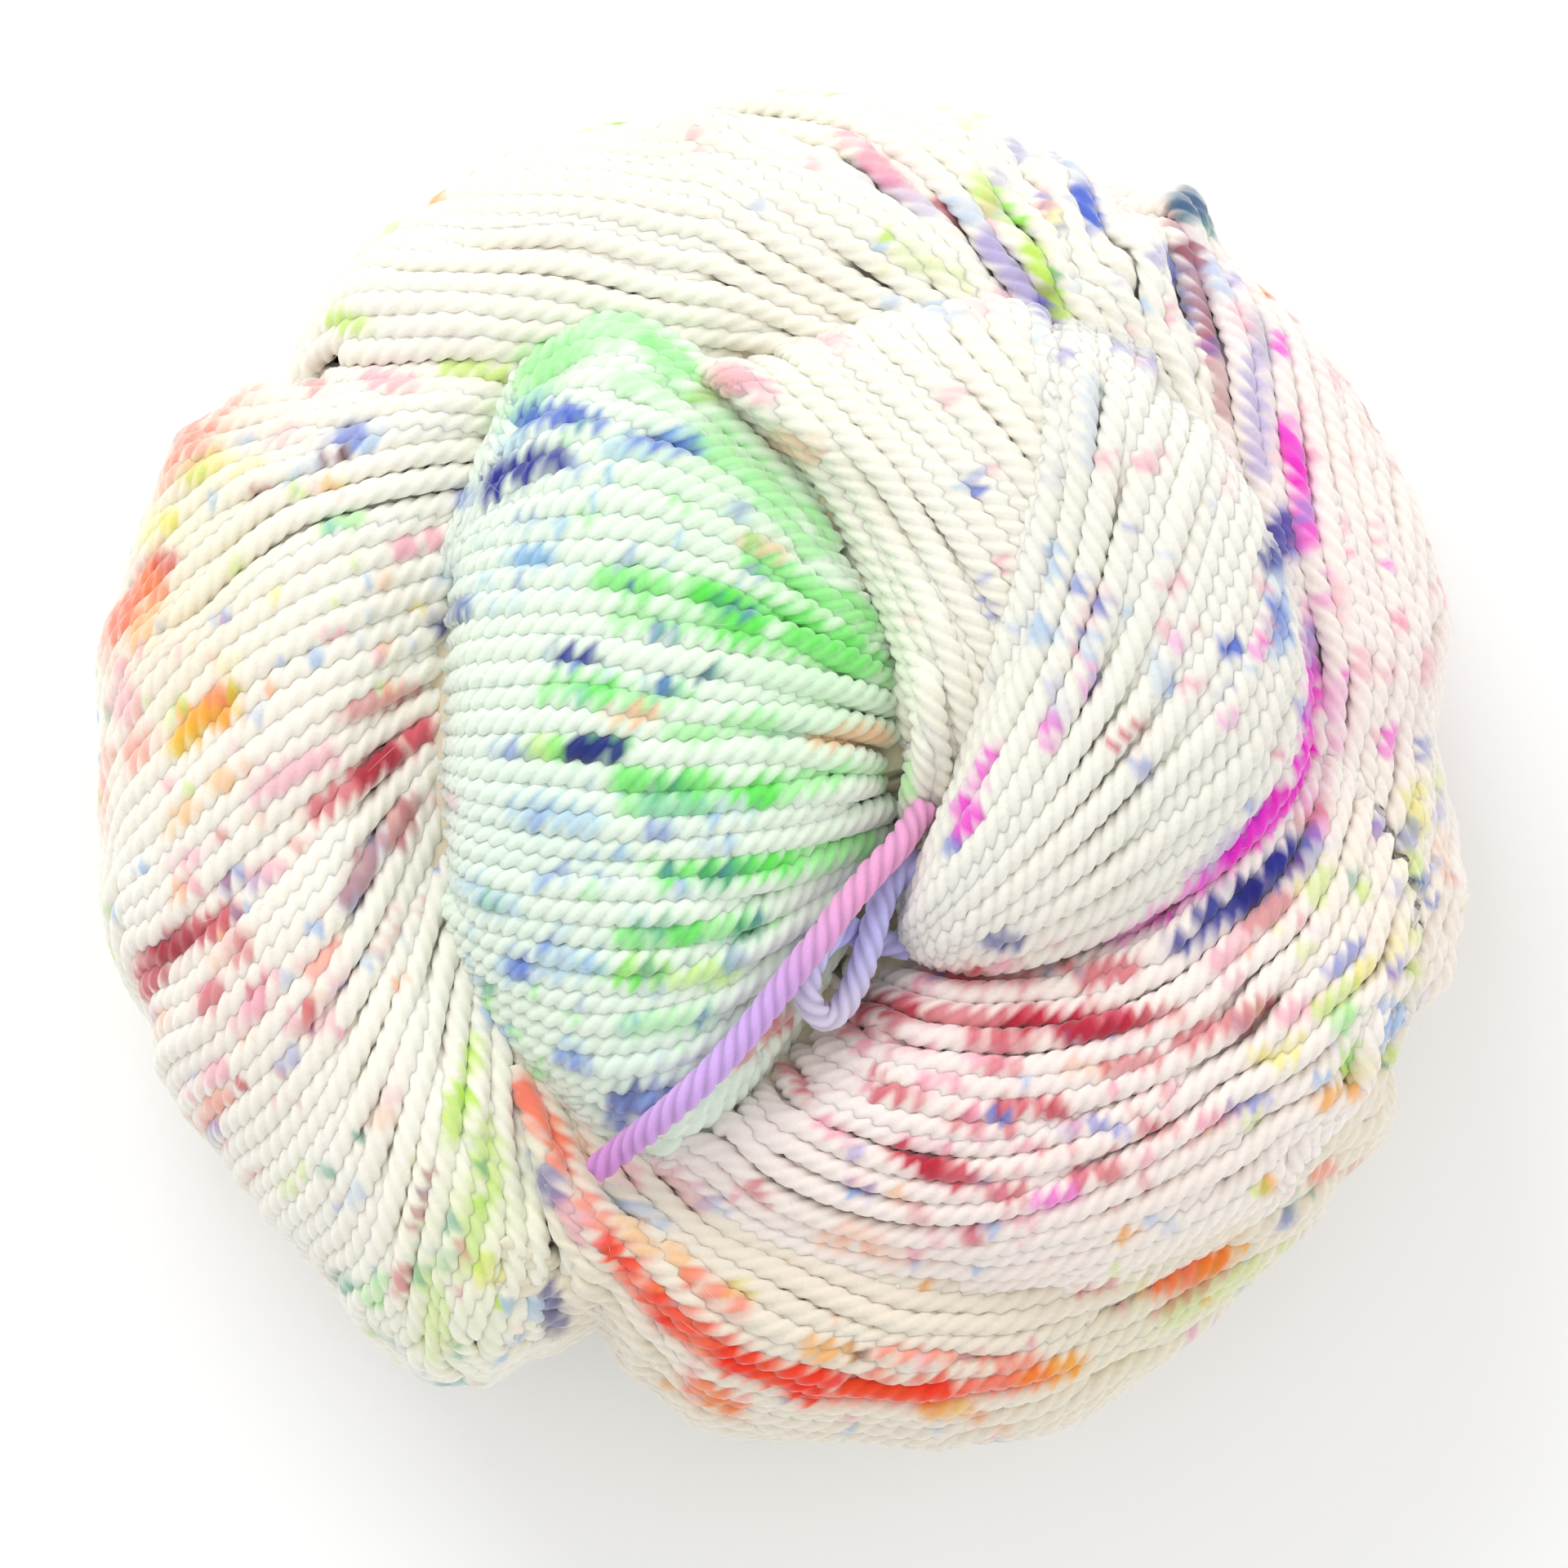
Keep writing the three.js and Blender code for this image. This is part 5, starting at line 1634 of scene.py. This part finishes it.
# Loose fibres that stand off the strands: single pale hairs that soften the outline.
LOOSE_FIBRE = WoolFinish("loose_wool_fibre", 0.8, 0.2, 0.0, 0.0)


# Sockets of the colour mix node, whose names are shared by several of its sockets.
MIX_SHARE, MIX_A, MIX_B, MIX_RESULT = 0, 6, 7, 2


def wool_material(finish: WoolFinish) -> bpy.types.Material:
    """Makes the material of a finish.

    Args:
        finish: what it looks like.

    Returns:
        The material.
    """
    material = bpy.data.materials.new(finish.name)
    material.use_nodes = True
    tree = material.node_tree
    tree.nodes.clear()
    place = add_node(tree, "ShaderNodeTexCoord")
    fibre = add_node(tree, "ShaderNodeTexNoise", {
        "Scale": finish.fibre_scale, "Detail": finish.fibre_detail,
        "Roughness": finish.fibre_roughness,
    }, Vector=place.outputs["Object"])
    darkest, lightest = finish.fibre_shade
    shade = add_node(tree, "ShaderNodeMapRange", {"To Min": darkest, "To Max": lightest},
                     Value=fibre.outputs["Fac"])
    shader = add_node(tree, "ShaderNodeBsdfPrincipled", {
        "Roughness": finish.roughness, "Sheen Weight": finish.sheen,
        "Sheen Roughness": finish.sheen_roughness, "Subsurface Weight": finish.through,
        "Subsurface Radius": finish.through_colours, "Subsurface Scale": finish.through_depth,
        "Specular IOR Level": finish.shine,
    })
    tinted = add_node(tree, "ShaderNodeMix", {"data_type": "RGBA", "blend_type": "MULTIPLY"})
    tinted.inputs[MIX_SHARE].default_value = 1.0
    dye = add_node(tree, "ShaderNodeAttribute", {"attribute_name": DYE_LAYER})
    tree.links.new(dye.outputs["Color"], tinted.inputs[MIX_A])
    tree.links.new(shade.outputs["Result"], tinted.inputs[MIX_B])
    tree.links.new(tinted.outputs[MIX_RESULT], shader.inputs["Base Color"])
    if finish.relief:
        bump = add_node(tree, "ShaderNodeBump", {
            "Strength": finish.relief, "Distance": finish.relief_height,
        }, Height=fibre.outputs["Fac"])
        tree.links.new(bump.outputs["Normal"], shader.inputs["Normal"])
    output = add_node(tree, "ShaderNodeOutputMaterial")
    tree.links.new(shader.outputs["BSDF"], output.inputs["Surface"])
    return material


class TieCord:
    """A plied length of the tie yarn."""

    GROOVE_SHADE = 0.74  # painted shade: how much of the colour is left in the grooves between its plies, less than on the wool
    LEAD = 6.8  # length of yarn in one turn of its plies
    STATIONS = 110
    PHASE = 0.4  # where its plies start, in radians
    SEED = 3

    def __init__(self, name: str, node: str, slot: str, diameter: float, far_end: str,
                 route: Route, roots: tuple[Route, Route], colours: Sequence[Finish]) -> None:
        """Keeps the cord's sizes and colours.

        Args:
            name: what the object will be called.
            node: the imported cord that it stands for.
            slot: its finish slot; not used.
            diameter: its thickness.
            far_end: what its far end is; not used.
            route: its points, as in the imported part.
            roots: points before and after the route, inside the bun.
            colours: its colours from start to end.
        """
        self.name, self.node, self.slot = name, node, slot
        self.diameter, self.far_end = diameter, far_end
        self.route = np.array((*roots[0], *route, *roots[1]), float)
        self.colours = np.array([linear_colour(c.value) for c in colours])

    def build(self, material: bpy.types.Material) -> bpy.types.Object:
        """Args:
            material: its material.

        Returns:
            The new object.
        """
        points = resample(self.route, np.ones(3), self.STATIONS)
        tangents = unit(np.gradient(points, axis=0))
        normal = np.array([0.0, 0.0, 1.0])
        normals = []
        for tangent in tangents:
            normal = normal - tangent * (normal @ tangent)
            normal /= np.linalg.norm(normal)
            normals.append(normal)
        count = len(points)
        radius = np.full(count, self.diameter / 2)
        strand = Strand(points, tangents, np.array(normals), radius, self.LEAD, (1, 1, 1),
                        self.PHASE, self.SEED, self.GROOVE_SHADE)
        blend = catmull_rom(self.colours, np.linspace(0, len(self.colours) - 1, count))
        colours = np.clip(np.repeat(blend[:, None], STRAND.plies, axis=1), 0, 1)
        piece = MeshPiece(self.name)
        piece.add_tube(strand, colours)
        obj = piece.build(material)
        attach(obj, BODY)
        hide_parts(self.node)
        return obj


class Core:
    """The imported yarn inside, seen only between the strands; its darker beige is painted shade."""

    DEPTH = 2.8  # below the wound form's own skin
    REACH = 2.0  # how far round itself a point looks for the foot of a lobe
    UPPER = 28  # height above which that matters
    DIRECTIONS = 8  # in which it looks
    WASH_FADE = 4  # height over which the washes come in
    WELD = 1e-6  # metres

    def __init__(self, ring: Ring) -> None:
        """Keeps the ring whose skin the core lies under."""
        self.ring = ring

    def _skin(self, x: np.ndarray, y: np.ndarray) -> np.ndarray:
        """Reads the height of the ring and the lobes.

        Args:
            x: places across.
            y: places along.

        Returns:
            The height over each place.
        """
        height = self.ring.place(self.ring.chart(np.stack([x, y], axis=1)))[:, 2]
        for lobe in self.ring.lobes:
            height = np.maximum(height, lobe.height(x, y))
        return height

    def _sink(self, mesh: bpy.types.Mesh) -> np.ndarray:
        """Lowers the core where it would stand out at the foot of a lobe.

        Args:
            mesh: the core's mesh, changed in place.

        Returns:
            Its points in the tables' frame.
        """
        places = np.empty(len(mesh.vertices) * 3, np.float32)
        mesh.vertices.foreach_get("co", places)
        places = places.reshape(-1, 3) / MM - VIEW_TO_BUN
        upper = places[:, 2] > self.UPPER
        x, y = places[upper, 0], places[upper, 1]
        lowest = self._skin(x, y) - self.DEPTH
        for turn in np.linspace(0, 2 * math.pi, self.DIRECTIONS, endpoint=False):
            beside = self._skin(x + self.REACH * math.cos(turn), y + self.REACH * math.sin(turn))
            lowest = np.minimum(lowest, beside - self.DEPTH / 2)
        places[upper, 2] = np.minimum(places[upper, 2], lowest)
        mesh.vertices.foreach_set("co", ((places + VIEW_TO_BUN) * MM).astype(np.float32).ravel())
        return places

    def build(self, source: bpy.types.Object, material: bpy.types.Material) -> bpy.types.Object:
        """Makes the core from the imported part's own form.

        Args:
            source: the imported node.
            material: its material.

        Returns:
            The new object.
        """
        mesh = source.data.copy()
        mesh.name = CORE_NAME
        obj = bpy.data.objects.new(CORE_NAME, mesh)
        bpy.context.scene.collection.objects.link(obj)
        bpy.ops.object.select_all(action="DESELECT")
        bpy.context.view_layer.objects.active = obj
        obj.select_set(True)
        bpy.ops.object.mode_set(mode="EDIT")
        bpy.ops.mesh.select_all(action="SELECT")
        bpy.ops.mesh.remove_doubles(threshold=self.WELD)
        bpy.ops.mesh.subdivide(number_cuts=1)
        bpy.ops.object.mode_set(mode="OBJECT")
        modifier = obj.modifiers.new("inset", "DISPLACE")
        modifier.strength = -self.DEPTH * MM
        modifier.mid_level = 0.0
        bpy.ops.object.modifier_apply(modifier=modifier.name)
        mesh = obj.data
        places = self._sink(mesh)
        # the core's darker beige is painted shade for the gaps between strands
        colours = np.tile(np.array(linear_colour(Finish.CORE_PAINTED_SHADE.value)), (len(places), 1))
        Dye.wash(colours, places[:, :2], smooth((places[:, 2] - self.UPPER) / self.WASH_FADE))
        add_dye(mesh, colours)
        mesh.materials.clear()
        mesh.materials.append(material)
        mesh.polygons.foreach_set("use_smooth", np.ones(len(mesh.polygons), bool))
        mesh.update()
        LOG.info("%s: %d triangles", CORE_NAME, len(mesh.polygons))
        return obj


class Fuzz:
    """Loose fibres that stand off the strands."""

    SEED = 77
    HAIRS = 1100
    THICKNESS = 0.035
    TIP = 0.4  # share of the thickness left at the tip
    LENGTH = (1.6, 4.2)
    STEPS = 5
    LEAN = 0.9  # how far round the strand a fibre may start
    ROOT = 0.9  # share of the strand's radius at which it starts
    SIDEWAYS = 0.6
    RISE = (0.1, 0.5)
    BEND = 0.35
    DROOP = 0.25
    LOWEST = 0.1
    ACROSS = (0.31, 0.17, 0.93)  # a direction that no fibre follows
    CORNERS = (0, 2.1, 4.2)  # round its section, in radians

    def __init__(self, strands: Sequence[Strand]) -> None:
        """Keeps the strands that the fibres stand on."""
        self.strands = strands

    def build(self, material: bpy.types.Material) -> bpy.types.Object:
        """Makes the fibres as one mesh.

        Args:
            material: its material.

        Returns:
            The new object.
        """
        rng = np.random.default_rng(self.SEED)
        lengths = np.array([len(s.points) for s in self.strands], float)
        chosen = rng.choice(len(self.strands), self.HAIRS, p=lengths / lengths.sum())
        piece = MeshPiece("loose_fibres")
        for index in chosen:
            strand = self.strands[index]
            at = int(rng.integers(len(strand.points)))
            normal, tangent = strand.normals[at], strand.tangents[at]
            side = np.cross(tangent, normal)
            lean = rng.uniform(-self.LEAN, self.LEAN)
            away = (normal + side * lean) / math.hypot(1, lean)
            root = strand.points[at] + away * strand.radius[at] * self.ROOT
            heading = tangent * rng.choice([-1, 1]) + side * rng.normal(0, self.SIDEWAYS)
            heading = unit(heading + normal * rng.uniform(*self.RISE))
            bend = rng.normal(0, self.BEND, 3) - normal * self.DROOP
            reach = rng.uniform(*self.LENGTH)
            t = np.linspace(0, 1, self.STEPS)[:, None]
            line = root + heading * reach * t + bend * reach * 0.5 * t**2
            line[:, 2] = np.maximum(line[:, 2], self.LOWEST)
            self._hair(piece, line, strand.base)
        return piece.build(material)

    def _hair(self, piece: MeshPiece, line: np.ndarray, colour: tuple[float, float, float]) -> None:
        """Adds one three-sided fibre.

        Args:
            piece: the mesh that it goes into.
            line: its centre line.
            colour: its linear colour.
        """
        tangents = unit(np.gradient(line, axis=0))
        side = unit(np.cross(tangents, np.array(self.ACROSS)))
        other = np.cross(tangents, side)
        thick = self.THICKNESS * np.linspace(1, self.TIP, len(line))[:, None] / 2
        corners = [side * math.cos(a) + other * math.sin(a) for a in self.CORNERS]
        places = np.stack([line + thick * c for c in corners], axis=1).reshape(-1, 3)
        k, i = np.meshgrid(np.arange(len(line) - 1), np.arange(3), indexing="ij")
        near, beside = k * 3 + i, k * 3 + (i + 1) % 3
        walls = np.stack([near, beside, beside + 3, near + 3], axis=-1).reshape(-1, 4)
        last = (len(line) - 1) * 3
        caps = np.array([[2, 1, 0], [last, last + 1, last + 2]])
        piece.add_part(places, [walls, caps], np.tile(np.array(colour), (len(places), 1)))


class Hank:
    """The wound hank: core, strands and loose fibres."""

    def __init__(self, node: bpy.types.Object) -> None:
        """Makes the surfaces and the dye.

        Args:
            node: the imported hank.
        """
        self.node = node
        self.lobes = {id(shape): Lobe(shape) for shape in LOBES}
        self.ring = Ring(RING, self.lobes.values())
        self.dye = Dye()

    def build(self) -> list[bpy.types.Object]:
        """Makes every piece of the hank.

        Returns:
            The objects.
        """
        wool = wool_material(HANK_WOOL)
        weaver = SheafWeaver(self.ring, self.lobes, STRAND)
        objects, everything = [], []
        for sheaf in SHEAVES:
            strands = weaver.weave(sheaf)
            everything += strands
            LOG.info("%s: %d strands", sheaf.name, len(strands))
            number = 1
            piece = MeshPiece(f"{sheaf.name}_{number}")
            for strand in strands:
                if piece.triangles > STRAND.most_triangles:
                    objects.append(piece.build(wool))
                    number += 1
                    piece = MeshPiece(f"{sheaf.name}_{number}")
                piece.add_tube(strand, self.dye.paint(strand))
            objects.append(piece.build(wool))
        objects.append(Core(self.ring).build(self.node, wool_material(CORE_WOOL)))
        objects.append(Fuzz(everything).build(wool_material(LOOSE_FIBRE)))
        for obj in objects:
            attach(obj, BODY)
            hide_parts("hank")
        return objects


@dataclass(frozen=True)
class Lamp:
    """A soft square light that faces the bun: place and size in metres, power in watts."""

    name: str
    place: tuple[float, float, float]
    size: float
    power: float


class Studio:
    """Camera, floor and light."""

    LAMPS = (
        Lamp("key_upper_left", (-0.45, 0.95, 0.8), 0.7, 7),
        Lamp("fill_right", (0.9, 0.1, 0.7), 0.9, 1.5),
    )
    AIM = (0, 0, 0.02)
    FAR = 20
    FLOOR_SIZE = 8
    PAPER_ROUGHNESS = 0.9
    DAYLIGHT = 0.86

    def build(self) -> None:
        """Sets up the view and the light."""
        scene = bpy.context.scene
        data = bpy.data.cameras.new("camera")
        data.sensor_width = CAMERA.sensor
        data.lens = CAMERA.sensor * CAMERA.distance / CAMERA.view_width
        data.clip_end = self.FAR
        camera = bpy.data.objects.new("camera", data)
        camera.location = Vector(VIEW_TO_BUN * MM) + Vector((0, 0, CAMERA.height + CAMERA.distance))
        scene.collection.objects.link(camera)
        scene.camera = camera
        bpy.ops.mesh.primitive_plane_add(size=self.FLOOR_SIZE, location=(0, 0, 0))
        floor = bpy.context.object
        floor.name = "floor"
        paper = bpy.data.materials.new("white_paper_floor")
        paper.use_nodes = True
        shader = paper.node_tree.nodes["Principled BSDF"]
        shader.inputs["Base Color"].default_value = (*linear_colour(Finish.FLOOR.value), 1)
        shader.inputs["Roughness"].default_value = self.PAPER_ROUGHNESS
        floor.data.materials.append(paper)
        for lamp in self.LAMPS:
            self._light(lamp)
        world = bpy.data.worlds.new("studio")
        world.use_nodes = True
        world.node_tree.nodes["Background"].inputs["Color"].default_value = (1, 1, 1, 1)
        world.node_tree.nodes["Background"].inputs["Strength"].default_value = self.DAYLIGHT
        scene.world = world
        scene.view_settings.view_transform = "Standard"

    def _light(self, lamp: Lamp) -> None:
        """Adds a lamp.

        Args:
            lamp: what it is like.
        """
        data = bpy.data.lights.new(lamp.name, "AREA")
        data.size = lamp.size
        data.energy = lamp.power
        light = bpy.data.objects.new(lamp.name, data)
        light.location = lamp.place
        away = Vector(self.AIM) - Vector(lamp.place)
        light.rotation_euler = away.to_track_quat("-Z", "Y").to_euler()
        bpy.context.scene.collection.objects.link(light)


def main() -> None:
    """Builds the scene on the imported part."""
    logging.basicConfig(level=logging.INFO, format="%(name)s %(message)s")
    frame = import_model()
    Studio().build()
    tie = wool_material(TIE_YARN)
    TieCord("tie_tail_yarn", "tie_tail", "tie_tail_yarn", TAIL_DIAMETER, "bare", TIE_TAIL,
            TAIL_ROOTS, (Finish.TAIL_PINK, Finish.TAIL_PINK, Finish.TAIL_LILAC,
                         Finish.TAIL_LILAC, Finish.TAIL_MAUVE)).build(tie)
    TieCord("tie_loop_yarn", "tie_loop", "tie_loop_yarn", LOOP_DIAMETER, "object", TIE_LOOP,
            LOOP_ROOTS, (Finish.LOOP_LILAC, Finish.LOOP_LILAC, Finish.LOOP_PALE,
                         Finish.LOOP_LILAC, Finish.LOOP_LILAC)).build(tie)
    Hank(frame["nodes"]["hank"]).build()


if __name__ == "__main__":
    main()
